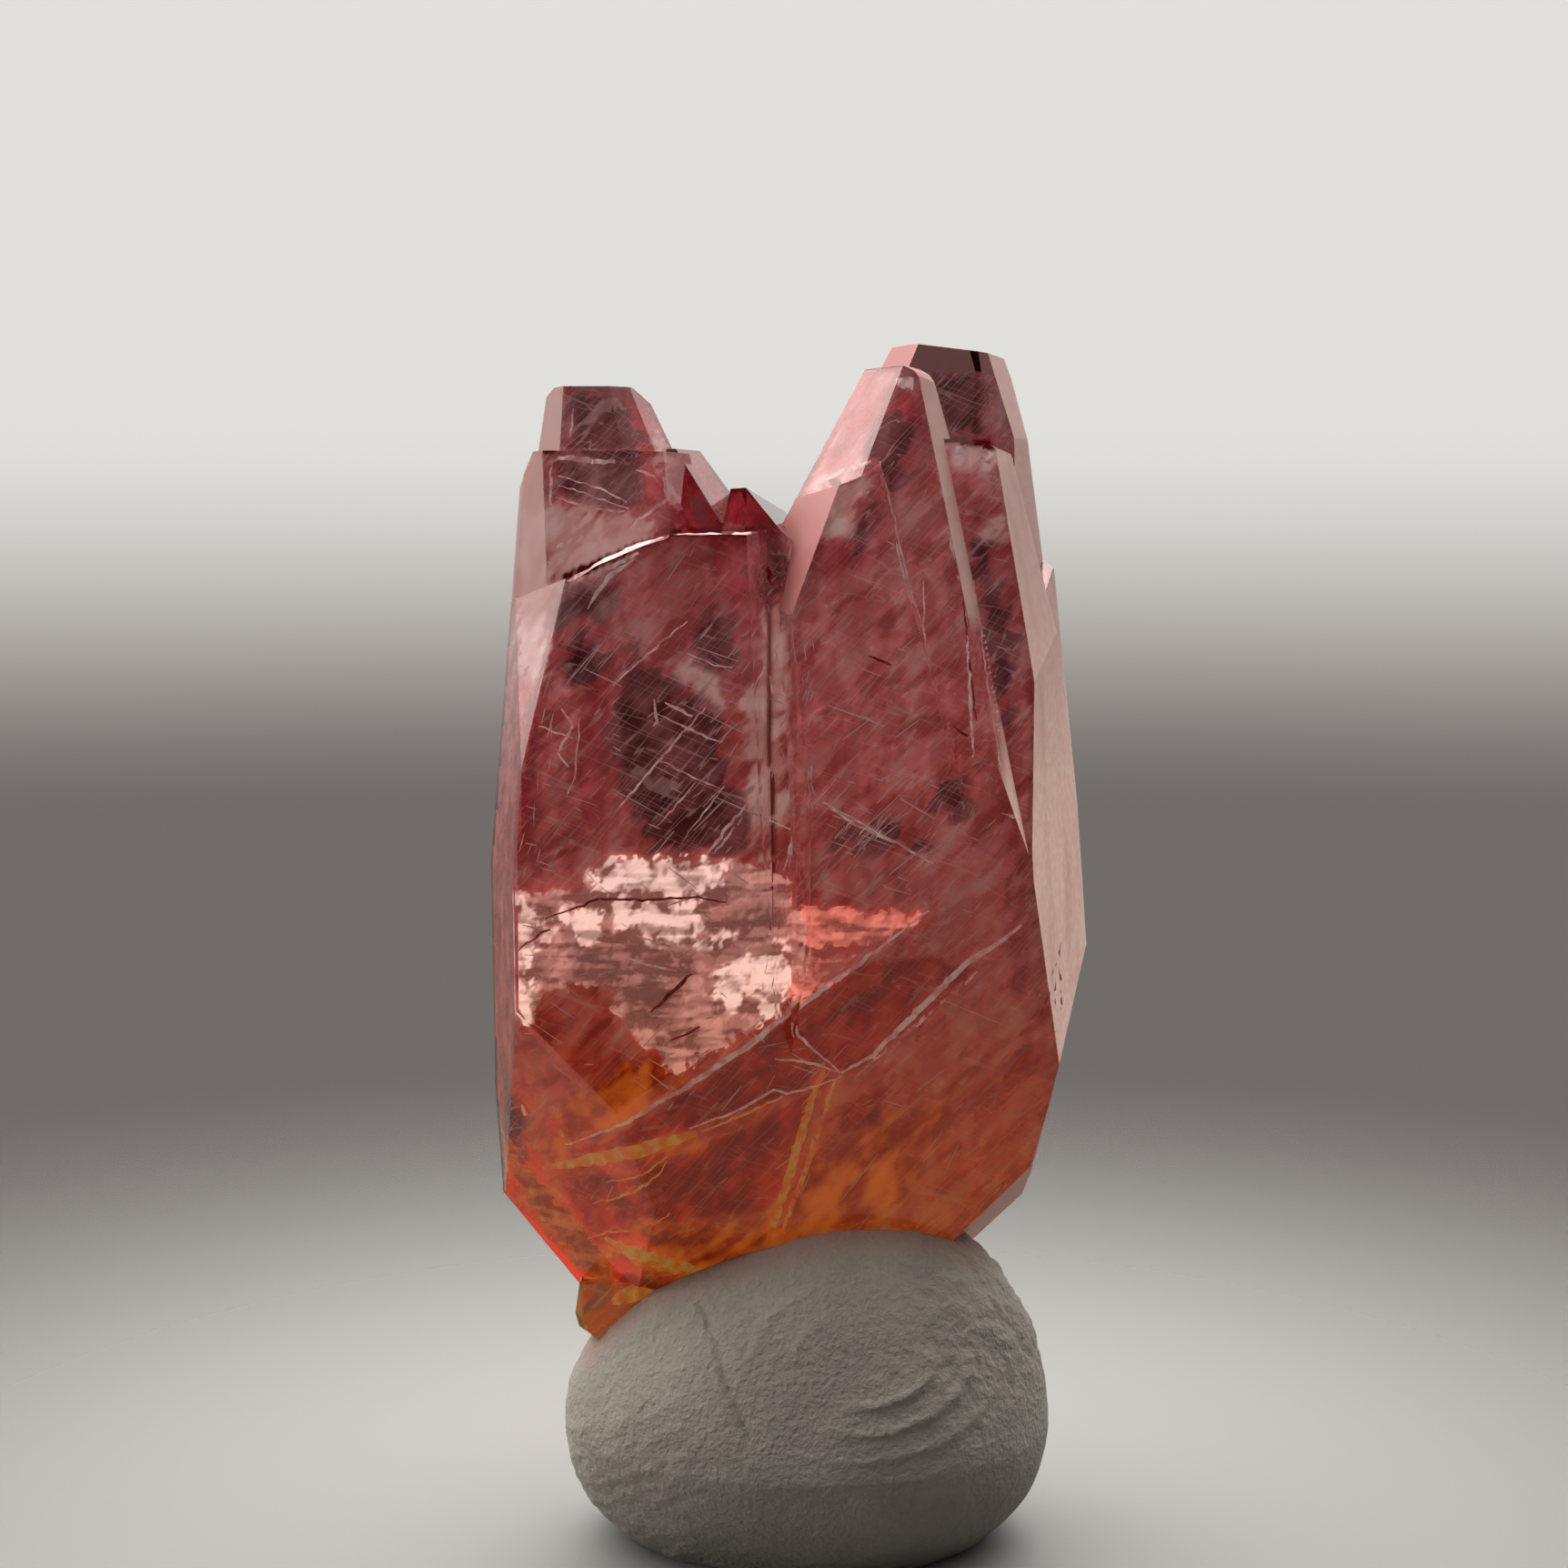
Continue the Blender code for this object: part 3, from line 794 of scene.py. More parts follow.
class RHODO_OT_fractures(bpy.types.Operator):
    """Open the crackled fractures, with the light that they catch painted in as highlights and glow"""

    bl_idname = "rhodo.fractures"
    bl_label = "Fractures"

    # Outlines, as (across, up) in millimetres, of the sheets and of their painted highlights and painted
    # shade
    EDGE = (
        ((-4.01, 15.46), (-1.34, 15.46), (-0.72, 15.33), (-0.12, 15.14), (-0.00, 14.66), (0.22, 14.38),
         (0.41, 13.42), (0.04, 12.46), (-0.91, 11.89), (-2.06, 11.21), (-2.53, 11.02), (-3.38, 11.89),
         (-3.85, 12.85), (-5.09, 12.66), (-5.28, 12.08), (-5.57, 12.12), (-6.17, 12.27),
         (-6.19, 14.66), (-5.45, 14.70), (-4.31, 14.85)),
    )
    WEDGE = (
        ((0.38, 14.49), (2.68, 14.30), (1.99, 13.75), (0.51, 13.67), (0.19, 14.09)),
        ((0.09, 13.54), (1.29, 13.46), (1.08, 13.04), (0.17, 12.54), (-0.12, 12.62)),
    )
    RIM = (
        ((-6.30, 9.07), (-6.01, 9.11), (-5.65, 8.48), (-4.79, 7.59), (-4.02, 6.61), (-3.87, 6.01),
         (-4.32, 5.95), (-5.18, 7.06), (-5.94, 8.05), (-6.30, 8.68)),
    )
    # Painted highlights: where the fractures seem to catch the most light
    PAINTED_HIGHLIGHTS = (
        ((-3.93, 15.46), (-1.34, 15.46), (-1.38, 14.85), (-2.05, 14.66), (-3.18, 14.68),
         (-4.03, 14.85)),
        ((-3.63, 14.51), (-1.95, 14.53), (-1.90, 13.71), (-2.81, 13.71), (-3.47, 14.00),
         (-3.71, 14.38)),
        ((-6.19, 14.57), (-5.26, 14.38), (-5.12, 13.80), (-5.46, 13.23), (-5.28, 12.46),
         (-5.57, 12.17), (-6.21, 12.85)),
        ((-1.29, 13.33), (-0.87, 13.42), (-0.76, 12.94), (-1.10, 12.27), (-1.58, 12.56)),
        ((-0.68, 13.42), (-0.12, 13.52), (-0.12, 12.66), (-0.63, 12.12)),
        ((-1.56, 13.61), (-1.25, 13.88), (-1.52, 13.88)),
        ((-4.70, 14.28), (-3.94, 14.38), (-4.13, 13.80), (-4.32, 13.71)),
    )
    # Painted shade: where the fractures seem to catch no light
    PAINTED_SHADE_PATCHES = (
        ((-4.47, 13.90), (-3.64, 13.71), (-3.38, 12.85), (-3.85, 12.66), (-4.42, 13.04)),
        ((-1.76, 14.19), (-0.34, 14.66), (-0.19, 14.15), (-1.29, 13.52), (-1.63, 13.19),
         (-1.86, 13.61)),
        ((-3.39, 13.59), (-1.92, 13.59), (-1.99, 13.12), (-2.81, 12.04), (-3.40, 12.17)),
    )

    def execute(self, context):
        front = Front(crystal_group())
        salmon = self.crackled("salmon_fracture", (1.0, 0.82, 0.73), (0.98, 0.52, 0.44), 0.95)
        coral = self.crackled("coral_fracture", (1.0, 0.60, 0.50), (0.98, 0.30, 0.23), 1.4)
        amber = self.crackled("amber_rim", (1.0, 0.62, 0.30), (0.85, 0.16, 0.03), 0.5)
        main = hang(front, "bright_fracture", (-2.9, 13.0), 7.4, 5.4, 0.26, 0.06, 0.08, sharp=True)
        wedge = hang(front, "coral_wedge", (1.7, 13.2), 3.4, 2.6, 0.30, 0.06, 0.05, sharp=True)
        rim = hang(front, "amber_rim", (-5.2, 7.8), 3.6, 4.4, 0.14, 0.06, 0.03, sharp=True, margin=0.03)
        for piece, edge, finish in ((main, self.EDGE, salmon), (wedge, self.WEDGE, coral),
                                    (rim, self.RIM, amber)):
            mark(piece, "edge", edge)
            keep_marked(piece, "edge", 0.15)
            speckle(piece, "level", (1.3, 1.0, 0.20), 0.66, 3, 0.4)
            speckle(piece, "chips", (0.38, 0.38, 0.38), 0.74, 4, 0.6)
            mark(piece, "blaze", self.PAINTED_HIGHLIGHTS)
            mark(piece, "dim", self.PAINTED_SHADE_PATCHES)
            adopt(piece, finish, "crystal")
        return {"FINISHED"}

    def crackled(self, name, bright, dark, painted_glow_strength):
        """Crumpled bright sheet with level streaks, with painted highlights in some parts, painted shade in
        others, and a painted glow.
        """
        made = Finish.material(name)
        level = made.attribute("level")
        chips = made.attribute("chips")
        blaze = (made.attribute("blaze") + (chips - 0.5) * 1.2).rise(-0.12, 0.12)
        dim = (made.attribute("dim") + (chips - 0.5) * 0.9).rise(-0.08, 0.08)
        # Painted highlight: how much light each part of the crumpled sheet seems to catch
        shine = (chips.rise(0.38, 0.66) * 0.55 + level.rise(0.40, 0.62) * 0.60
                 + blaze * 0.40 - dim * 0.40 - 0.20).least(1.0)
        colour = made.mix(shine, dark, bright)
        colour = made.mix(dim * 0.6, colour, scaled(dark, 0.45))
        creases = (chips - 0.5).size().rise(0.016, 0.003).most((level - 0.48).size().rise(0.016, 0.003))
        colour = made.mix(creases * 0.45, colour, scaled(dark, 0.35))
        alpha = (made.attribute("edge") + (chips - 0.5) * 0.7).rise(-0.04, 0.04) * 0.95
        # Painted glint and glow: the sheet gives off its bright colour where it is painted as catching light
        painted_glint = made.mix(blaze, scaled(dark, 0.6), bright)
        return made.surface(base_color=colour, roughness=0.35, alpha=alpha,
                            emission_color=made.mix(shine, scaled(dark, 0.12), painted_glint),
                            emission_strength=painted_glow_strength, specular_ior_level=0.2)


class RHODO_OT_needles(bpy.types.Operator):
    """Scatter fine straight needles in crossing sets"""

    bl_idname = "rhodo.needles"
    bl_label = "Needles"

    # Middle (across, up), reach, how many, seed, longest in millimetres, tilts in degrees
    FIELDS = (
        ((-2.5, 17.9), (1.9, 2.3), 60, 1, 2.2, (47, -22)),
        ((1.8, 15.9), (1.3, 1.2), 45, 2, 1.6, (47, -22)),
        ((2.7, 19.0), (2.0, 3.4), 40, 3, 1.4, (40, -25)),
        ((-2.6, 12.9), (3.0, 2.2), 60, 4, 1.0, (10, -35)),
        ((0.0, 15.0), (5.6, 7.0), 60, 5, 1.6, (47, -22)),
        ((-1.0, 8.5), (4.5, 2.6), 50, 6, 1.5, (35, 60)),
        ((-0.05, 17.0), (0.55, 4.4), 90, 7, 0.7, (75, 100)),
        ((-5.5, 16.5), (0.6, 3.0), 50, 8, 0.6, (80, -15)),
    )

    def execute(self, context):
        front = Front(crystal_group())
        deselect()
        bpy.ops.mesh.primitive_uv_sphere_add(segments=3, ring_count=3, radius=0.5)
        sliver = bpy.context.object
        copies = []
        for middle, reach, count, seed, longest, tilts in self.FIELDS:
            chance = random.Random(seed)
            for _ in range(count):
                spot = front.behind(middle[0] + chance.uniform(-1, 1) * reach[0],
                                    middle[1] + chance.uniform(-1, 1) * reach[1],
                                    0.08 + 0.28 * chance.random())
                length = 0.25 + longest * chance.random() ** 2.2
                tilt = chance.gauss(tilts[chance.random() > 0.55], 6)
                along = Vector((math.cos(math.radians(tilt)), chance.uniform(-0.15, 0.15),
                                math.sin(math.radians(tilt)))).normalized()
                thick = chance.uniform(0.012, 0.034)
                half = along * length / 2 * MM
                if spot is None or not (front.holds(spot - half) and front.holds(spot + half)):
                    continue
                size = Matrix.Diagonal((length * MM, thick * MM, thick * MM, 1))
                copy = sliver.copy()
                copy.data = sliver.data.copy()
                turn = along.to_track_quat("X", "Z").to_matrix().to_4x4()
                copy.data.transform(Matrix.Translation(spot) @ turn @ size)
                context.scene.collection.objects.link(copy)
                copies.append(copy)
        bpy.data.objects.remove(sliver)
        adopt(join(copies, "needles"), self.finish(), "crystal")
        return {"FINISHED"}

    def finish(self):
        made = Finish.material("pale_needle")
        colour = made.ramp(made.height(made.place()), [
            (0.0, (1.0, 0.5, 0.2)), (0.3, (1.0, 0.80, 0.66)), (0.6, (1.0, 0.88, 0.86)),
            (1.0, (0.97, 0.86, 0.85)),
        ])
        # Painted glow: the needles give off a little light in their own colour
        return made.surface(base_color=colour, roughness=0.4, emission_color=colour,
                            emission_strength=0.08)


class RHODO_OT_strands(bpy.types.Operator):
    """Draw the single bright cracks, bars and ledges behind the front, with painted glints on the bars and
    painted highlights along the ledges
    """

    bl_idname = "rhodo.strands"
    bl_label = "Strands"

    # Each line: depth behind the front, width at its middle and at its ends, and its points
    # Orange bars: fractures low down, their brightness a painted glint
    ORANGE = (
        (0.25, 0.26, 0.10, ((-5.11, 8.63), (-4.15, 8.94), (-3.39, 9.22), (-2.53, 9.47), (-1.87, 9.64))),
        (0.25, 0.05, 0.02, ((-1.87, 9.64), (-0.91, 10.03), (-0.06, 10.43))),
        (0.30, 0.34, 0.06, ((-3.95, 7.02), (-3.21, 6.69), (-2.45, 6.39), (-1.69, 6.20))),
        (0.25, 0.30, 0.10, ((-3.89, 5.47), (-3.41, 5.67), (-2.84, 5.71))),
        (0.30, 0.16, 0.07, ((0.70, 10.95), (0.45, 10.28), (0.23, 9.51), (-0.12, 8.24), (-0.50, 6.92))),
        (0.35, 0.10, 0.05, ((0.95, 10.72), (0.70, 9.89), (0.38, 8.83), (0.0, 7.76), (-0.25, 6.98))),
        (0.45, 0.50, 0.10, ((-5.11, 8.98), (-4.63, 9.51), (-4.05, 10.03), (-3.19, 10.34),
                            (-2.34, 10.66))),
        (0.20, 0.07, 0.03, ((-6.05, 8.78), (-5.70, 8.42), (-5.25, 7.95), (-4.83, 7.43), (-4.46, 6.88),
                            (-4.22, 6.39))),
        (0.25, 0.05, 0.01, ((-4.20, 7.86), (-3.68, 8.05), (-3.20, 8.34), (-2.82, 8.69), (-2.53, 9.12))),
        (0.30, 0.04, 0.01, ((-3.87, 8.44), (-3.20, 8.67), (-2.44, 9.22))),
        (0.25, 0.05, 0.01, ((-4.42, 6.88), (-3.88, 7.17), (-3.40, 7.27), (-2.44, 7.86))),
        (0.25, 0.08, 0.02, ((-4.50, 6.06), (-4.08, 6.49), (-3.12, 6.98))),
    )
    # Pale lines: real cracks and needles, except that those 0.03 mm behind the front are painted highlights
    # along the ledges
    PALE = (
        (0.30, 0.11, 0.02, ((-4.72, 9.22), (-3.39, 9.95), (-2.05, 10.76), (-0.91, 11.53), (0.04, 12.30),
                            (1.26, 13.16), (2.11, 13.83), (2.96, 14.49))),
        (0.20, 0.05, 0.02, ((1.08, 10.86), (0.60, 11.30), (0.19, 11.72), (0.0, 12.15), (-0.12, 12.59))),
        (0.22, 0.05, 0.02, ((1.08, 10.86), (0.61, 11.05), (0.04, 11.20), (-0.44, 11.24))),
        (0.25, 0.05, 0.02, ((1.08, 10.80), (0.51, 10.57), (-0.06, 10.43), (-0.34, 10.53),
                            (-1.10, 10.09), (-2.25, 9.70))),
        (0.30, 0.12, 0.04, ((1.08, 10.86), (1.74, 11.24), (2.50, 12.01), (2.97, 12.49), (3.72, 13.26),
                            (4.38, 13.68), (4.94, 14.11))),
        (0.40, 0.08, 0.03, ((1.36, 10.76), (2.22, 11.53), (3.07, 12.26), (4.01, 13.10))),
        (0.03, 0.10, 0.05, ((-4.62, 21.16), (-4.00, 21.56), (-3.20, 21.92), (-2.40, 22.16))),
        (0.03, 0.07, 0.04, ((-2.40, 22.16), (-1.50, 22.18), (-0.55, 22.18))),
        (0.15, 0.08, 0.02, ((-4.20, 20.60), (-3.79, 21.24), (-3.13, 21.70))),
        (0.03, 0.09, 0.05, ((-5.10, 23.70), (-4.92, 23.78), (-4.42, 23.76), (-3.60, 23.70))),
        (0.15, 0.05, 0.02, ((-3.31, 23.52), (-3.03, 23.43), (-2.75, 23.20))),
        (0.15, 0.20, 0.02, ((-2.75, 23.39), (-2.57, 23.02), (-2.35, 22.56))),
        (0.15, 0.14, 0.02, ((-2.40, 22.40), (-2.60, 22.10), (-2.20, 22.05))),
        (0.15, 0.06, 0.02, ((-3.41, 22.28), (-2.85, 22.78), (-2.38, 23.11))),
        (0.15, 0.07, 0.03, ((-0.15, 22.56), (0.07, 22.10), (0.0, 21.63), (0.16, 21.17))),
        (0.15, 0.07, 0.03, ((1.89, 23.66), (2.17, 22.47), (2.42, 21.17), (2.80, 20.05), (2.78, 19.49))),
        (0.12, 0.24, 0.05, ((2.98, 24.77), (3.35, 22.83), (3.73, 20.70), (3.69, 20.05))),
        (0.12, 0.05, 0.03, ((3.70, 20.05), (3.74, 18.37), (3.79, 17.43))),
        (0.12, 0.09, 0.03, ((0.78, 23.30), (1.24, 23.52), (1.85, 23.70))),
        (0.12, 0.06, 0.03, ((0.68, 23.20), (0.44, 22.74), (0.22, 21.91))),
        (0.12, 0.26, 0.12, ((3.00, 24.75), (2.95, 25.16), (2.62, 25.35), (2.20, 25.38))),
        (0.12, 0.28, 0.14, ((3.55, 23.95), (4.00, 23.92), (4.45, 23.70))),
        (0.15, 0.06, 0.02, ((-1.75, 15.54), (-1.28, 16.11), (-0.81, 16.67))),
        (0.15, 0.04, 0.01, ((-1.57, 15.58), (-1.06, 16.20))),
        (0.12, 0.06, 0.02, ((-2.81, 18.74), (-2.74, 18.27), (-2.93, 18.09))),
        (0.12, 0.06, 0.02, ((-2.59, 18.65), (-2.31, 18.55), (-1.93, 18.33))),
        (0.25, 0.05, 0.02, ((0.69, 16.67), (1.35, 16.20), (2.20, 15.82), (3.05, 15.35))),
        (0.20, 0.03, 0.02, ((3.91, 21.17), (4.01, 19.68), (4.19, 18.18), (4.35, 17.05))),
        (0.15, 0.10, 0.02, ((-5.99, 11.72), (-5.88, 11.34), (-5.75, 10.95))),
        (0.15, 0.10, 0.02, ((-5.67, 10.10), (-5.57, 9.70))),
        (0.12, 0.05, 0.02, ((-3.17, 13.87), (-2.80, 13.71), (-1.95, 13.64))),
        (0.12, 0.05, 0.02, ((-3.40, 13.41), (-2.80, 13.22), (-2.23, 13.10))),
        (0.12, 0.04, 0.02, ((-3.41, 13.22), (-2.90, 12.95), (-2.42, 12.87))),
        (0.15, 0.04, 0.02, ((-4.98, 22.93), (-4.24, 22.71), (-3.39, 22.61))),
        (0.15, 0.03, 0.01, ((-4.93, 23.39), (-4.24, 23.20), (-3.35, 22.80))),
        (0.15, 0.03, 0.01, ((-4.93, 23.20), (-4.06, 22.93), (-3.31, 22.65))),
        (0.15, 0.05, 0.02, ((-5.07, 23.70), (-5.10, 22.65))),
        (0.15, 0.04, 0.02, ((-4.65, 24.86), (-4.71, 24.12))),
        (0.15, 0.10, 0.04, ((-4.94, 21.91), (-4.66, 21.91))),
        (0.15, 0.07, 0.03, ((-5.15, 21.58), (-4.92, 21.50))),
        (0.15, 0.07, 0.03, ((-3.97, 21.35), (-3.45, 21.58), (-3.04, 21.82))),
        (0.15, 0.05, 0.02, ((-4.72, 18.55), (-4.50, 18.18), (-4.81, 17.62), (-4.51, 17.24))),
        (0.15, 0.03, 0.01, ((-5.21, 18.18), (-4.37, 17.90))),
        (0.15, 0.03, 0.01, ((-4.35, 18.37), (-4.43, 17.24), (-4.63, 16.67))),
        (0.15, 0.04, 0.01, ((-3.67, 19.02), (-2.49, 20.05), (-2.02, 20.42))),
        (0.15, 0.04, 0.01, ((-3.63, 16.39), (-2.59, 17.62), (-1.65, 18.65))),
        (0.15, 0.03, 0.01, ((-2.75, 16.11), (-1.84, 17.14))),
        (0.15, 0.03, 0.01, ((-2.22, 15.82), (-1.28, 17.05))),
        (0.15, 0.04, 0.01, ((-2.78, 18.46), (-2.03, 18.09), (-1.28, 17.80))),
        (0.15, 0.03, 0.01, ((-2.78, 17.52), (-2.03, 17.14), (-1.28, 16.86))),
        (0.15, 0.03, 0.01, ((-2.12, 19.68), (-1.46, 19.40), (-1.05, 19.40))),
        (0.15, 0.04, 0.01, ((-0.81, 18.93), (-0.56, 19.40), (-0.38, 19.58))),
        (0.15, 0.04, 0.01, ((-0.43, 19.30), (-0.34, 18.74), (-0.15, 18.65))),
        (0.15, 0.05, 0.02, ((-0.12, 15.16), (-0.00, 15.63), (0.09, 16.11))),
        (0.15, 0.03, 0.01, ((2.79, 21.17), (2.80, 19.68))),
        (0.15, 0.03, 0.01, ((0.69, 16.67), (2.20, 15.82))),
        (0.15, 0.02, 0.01, ((1.07, 16.01), (1.35, 16.39))),
        (0.15, 0.02, 0.01, ((1.39, 15.96), (1.73, 16.35))),
        (0.15, 0.02, 0.01, ((1.73, 15.88), (2.07, 16.26))),
        (0.15, 0.05, 0.01, ((4.36, 16.39), (4.73, 16.30), (4.77, 16.11))),
        (0.15, 0.03, 0.01, ((5.23, 20.05), (5.31, 19.21))),
        (0.15, 0.03, 0.01, ((5.10, 17.62), (5.33, 17.39))),
    )
    DARK = (
        (0.12, 0.05, 0.02, ((-5.06, 14.21), (-3.93, 14.65), (-3.17, 14.61), (-1.91, 14.67),
                            (-1.19, 14.53))),
        (0.12, 0.07, 0.03, ((-2.90, 12.26), (-1.95, 13.14))),
        (0.12, 0.04, 0.02, ((-5.63, 13.54), (-5.16, 13.92), (-4.84, 14.02))),
        (0.12, 0.04, 0.01, ((-2.52, 11.63), (-1.76, 12.01))),
        (-0.03, 0.05, 0.01, ((5.89, 13.48), (5.58, 12.78), (5.28, 11.93))),
        (-0.03, 0.05, 0.01, ((5.86, 13.35), (5.68, 12.49), (5.57, 11.57))),
        (-0.03, 0.04, 0.01, ((5.80, 13.14), (5.87, 12.07), (5.61, 11.49))),
        (0.15, 0.05, 0.01, ((1.62, 19.64), (2.00, 19.49), (2.18, 19.34))),
        (0.15, 0.05, 0.01, ((3.37, 18.18), (3.78, 17.90))),
        (0.15, 0.04, 0.01, ((3.76, 20.89), (3.61, 20.80), (3.86, 18.18))),
    )

    def execute(self, context):
        front = Front(crystal_group())
        ticks = tuple((0.15, 0.05, 0.02, ((4.02 + 0.018 * n, 20.0 - 0.13 * n),
                                          (4.24 + 0.018 * n, 20.06 - 0.13 * n))) for n in range(18))
        kinds = (
            ("orange_strands", self.ORANGE, "orange_strand", (1.0, 0.30, 0.03), (1.0, 0.60, 0.18)),
            ("pale_strands", self.PALE + ticks, "pale_strand", (0.80, 0.42, 0.38), (1.0, 0.84, 0.80)),
            ("dark_cracks", self.DARK, "dark_crack", (0.12, 0.015, 0.015), (0.30, 0.04, 0.04)),
        )
        for seed, (name, lines, finish, dark, bright) in enumerate(kinds, 1):
            adopt(self.draw_all(front, name, lines, seed), self.finish(finish, dark, bright), "crystal")
        return {"FINISHED"}

    def draw_all(self, front, name, lines, seed):
        """Make each line a crumpled ribbon that tapers to its ends."""
        chance = random.Random(seed)
        mesh = bmesh.new()
        for depth, wide, narrow, points in lines:
            self.lay(mesh, front, chance, depth, wide, narrow, [Vector(p) for p in points])
        piece = bpy.data.objects.new(name, bpy.data.meshes.new(name))
        mesh.to_mesh(piece.data)
        mesh.free()
        bpy.context.scene.collection.objects.link(piece)
        return piece

    @staticmethod
    def lay(mesh, front, chance, depth, wide, narrow, points):
        """Lay one ribbon along its points, as pairs of vertices that faces join."""
        length = sum((b - a).length for a, b in zip(points, points[1:]))
        done = 0.0
        row = None
        for a, b in zip(points, points[1:]):
            along = (b - a).normalized()
            side = Vector((-along.y, along.x))
            count = max(1, round((b - a).length / 0.12))
            for step in range(count):
                share = (done + (b - a).length * step / count) / length
                half = 0.65 * (narrow + (wide - narrow) * math.sin(math.pi * share))
                spot = a + (b - a) * step / count + side * chance.gauss(0, 0.012)
                verts = []
                for edge in (-half, half):
                    flat = spot + side * edge * chance.uniform(0.7, 1.15)
                    place = front.behind(flat.x, flat.y, depth + chance.uniform(-0.04, 0.06))
                    if place is not None and (depth < 0.05 or front.holds(place, 0.04)):
                        verts.append(mesh.verts.new(place))
                if len(verts) == 2 and row is not None:
                    face = mesh.faces.new((row[0], verts[0], verts[1], row[1]))
                    face.normal_update()
                    if face.normal.y > 0:
                        face.normal_flip()
                row = verts if len(verts) == 2 else None
            done += (b - a).length

    def finish(self, name, dark, bright):
        made = Finish.material(name)
        fine = made.cloud(made.place(), 4.0, 4, 0.6)
        colour = made.mix(fine.rise(0.4, 0.6), dark, bright)
        # Painted glow: every line gives off light in its own colour
        return made.surface(base_color=colour, roughness=0.35, emission_color=colour,
                            emission_strength=0.2, normal=made.bump(fine, 0.04, 0.5))


class RHODO_OT_putty(bpy.types.Operator):
    """Press the lump of putty round the foot of the crystals"""

    bl_idname = "rhodo.putty"
    bl_label = "Putty"

    # The lump's own middle and its reach across, back, up and down, in millimetres
    MIDDLE = Vector((0.434, -0.877, 2.6))
    ACROSS = 5.38
    BACK = 4.1
    UP = 4.75
    DOWN = 3.6

    # Where the finger's ridges turn, how much wider than high they are, and how far apart
    WHORL = (1.55, 5.0)
    WHORL_WIDTH = 1.65
    RIDGE_GAP = 0.53
    CRACK = ((-1.91, 5.79), (-1.55, 5.23), (-1.43, 4.74), (-1.24, 4.37), (-0.87, 3.58))

    def execute(self, context):
        look = context.scene.rhodo_putty
        deselect()
        bpy.ops.mesh.primitive_uv_sphere_add(segments=300, ring_count=190, radius=1)
        piece = bpy.context.object
        piece.name = "putty_lump"
        normals = [vert.normal.copy() for vert in piece.data.vertices]
        for vert, normal in zip(piece.data.vertices, normals):
            place, outward = self.press(vert.co, normal)
            vert.co = (place + outward * self.relief(place, outward, look.ridge_height / MM)) * MM
        self.sit_flat(piece)
        self.take_print(piece)
        self.mark_foot(piece)
        pick(piece)
        bpy.ops.object.shade_smooth_by_angle(angle=math.radians(40))
        adopt(piece, self.finish(look), "putty", "putty")
        return {"FINISHED"}

    def press(self, co, normal):
        """Press a ball into the lump: flat below, fuller low down, higher on the right."""
        turn = math.atan2(co.y, co.x)
        level = co.z
        fullness = 2.0 if level > 0 else 2.25
        girth = max(0.0, 1 - abs(level) ** fullness) ** (1 / fullness)
        place = Vector((girth * self.ACROSS * math.cos(turn), girth * self.BACK * math.sin(turn),
                        level * (self.UP if level > 0 else self.DOWN)))
        place.z += 0.17 * place.x * max(level, 0.0)
        place.y += 0.8 * max(-level, 0.0)
        place += normal * 0.16 * noise.noise(co * 1.7)
        outward = Vector((normal.x / self.ACROSS, normal.y / self.BACK, normal.z / 4.2)).normalized()
        return self.MIDDLE + place, outward

    def relief(self, place, outward, ridge):
        """Height of the ridges, crack, creases, wrinkles and grain, in millimetres."""
        faces_front = clamp((-outward.y - 0.15) * 3)
        right = clamp((place.x - 1.6) / 2.2) * clamp((place.z - 3.2) / 1.5)
        left = clamp((-place.x - 1.2) / 1.5)
        height = 0.022 * noise.fractal(place * 0.9, 0.8, 2.0, 3)

        across = (place.x - self.WHORL[0]) / self.WHORL_WIDTH
        up = place.z - self.WHORL[1]
        warp = 0.05 * noise.noise(place * 1.9)
        reach = math.hypot(across, up) + warp
        turn = math.degrees(math.atan2(up, across))
        lower = max(0.0, 1 - ((turn + 52) / 62) ** 2)
        upper = 0.45 * max(0.0, 1 - ((turn - 150) / 45) ** 2) if turn > 0 else 0.0
        band = clamp((reach - 0.35) * 4) * clamp((2.6 - reach) / 1.3)
        wave = max(0.0, math.cos(2 * math.pi * (reach - 0.88) / self.RIDGE_GAP)) ** 2.5
        height += 2.1 * ridge * wave * band * (lower + upper) * faces_front
        bowl = max(0.0, 1 - (reach / 0.75) ** 2)
        height -= 0.05 * bowl * faces_front

        if faces_front > 0:
            height -= faces_front * self.groove(Vector((place.x, place.z)))
        height += 0.06 * right * noise.fractal(place * 3.1, 0.7, 2.2, 4)
        slant = Vector((place.x * 1.2 + place.z * 1.1, place.y, place.z * 3.6 - place.x * 2.4))
        height += 0.03 * left * noise.fractal(slant, 0.8, 2.0, 3)
        lip = max(0.0, 1 - abs(place.z - 0.12) / 0.22)
        height += 0.07 * lip * max(0.0, noise.noise(place * 1.4) + 0.2)
        return height

    def groove(self, spot):
        """Depth of the forked crack at a place on the front."""
        near = min(self.away(spot, Vector(a), Vector(b)) for a, b in zip(self.CRACK, self.CRACK[1:]))
        near += 0.03 * noise.noise(Vector((spot.x, spot.y, 0)) * 6)
        return 0.09 * max(0.0, 1 - near / 0.10) + 0.04 * max(0.0, 1 - near / 0.5)

    @staticmethod
    def away(spot, a, b):
        """Return how far a place is from the line between two others."""
        share = clamp((spot - a).dot(b - a) / (b - a).length_squared)
        return (spot - a - (b - a) * share).length

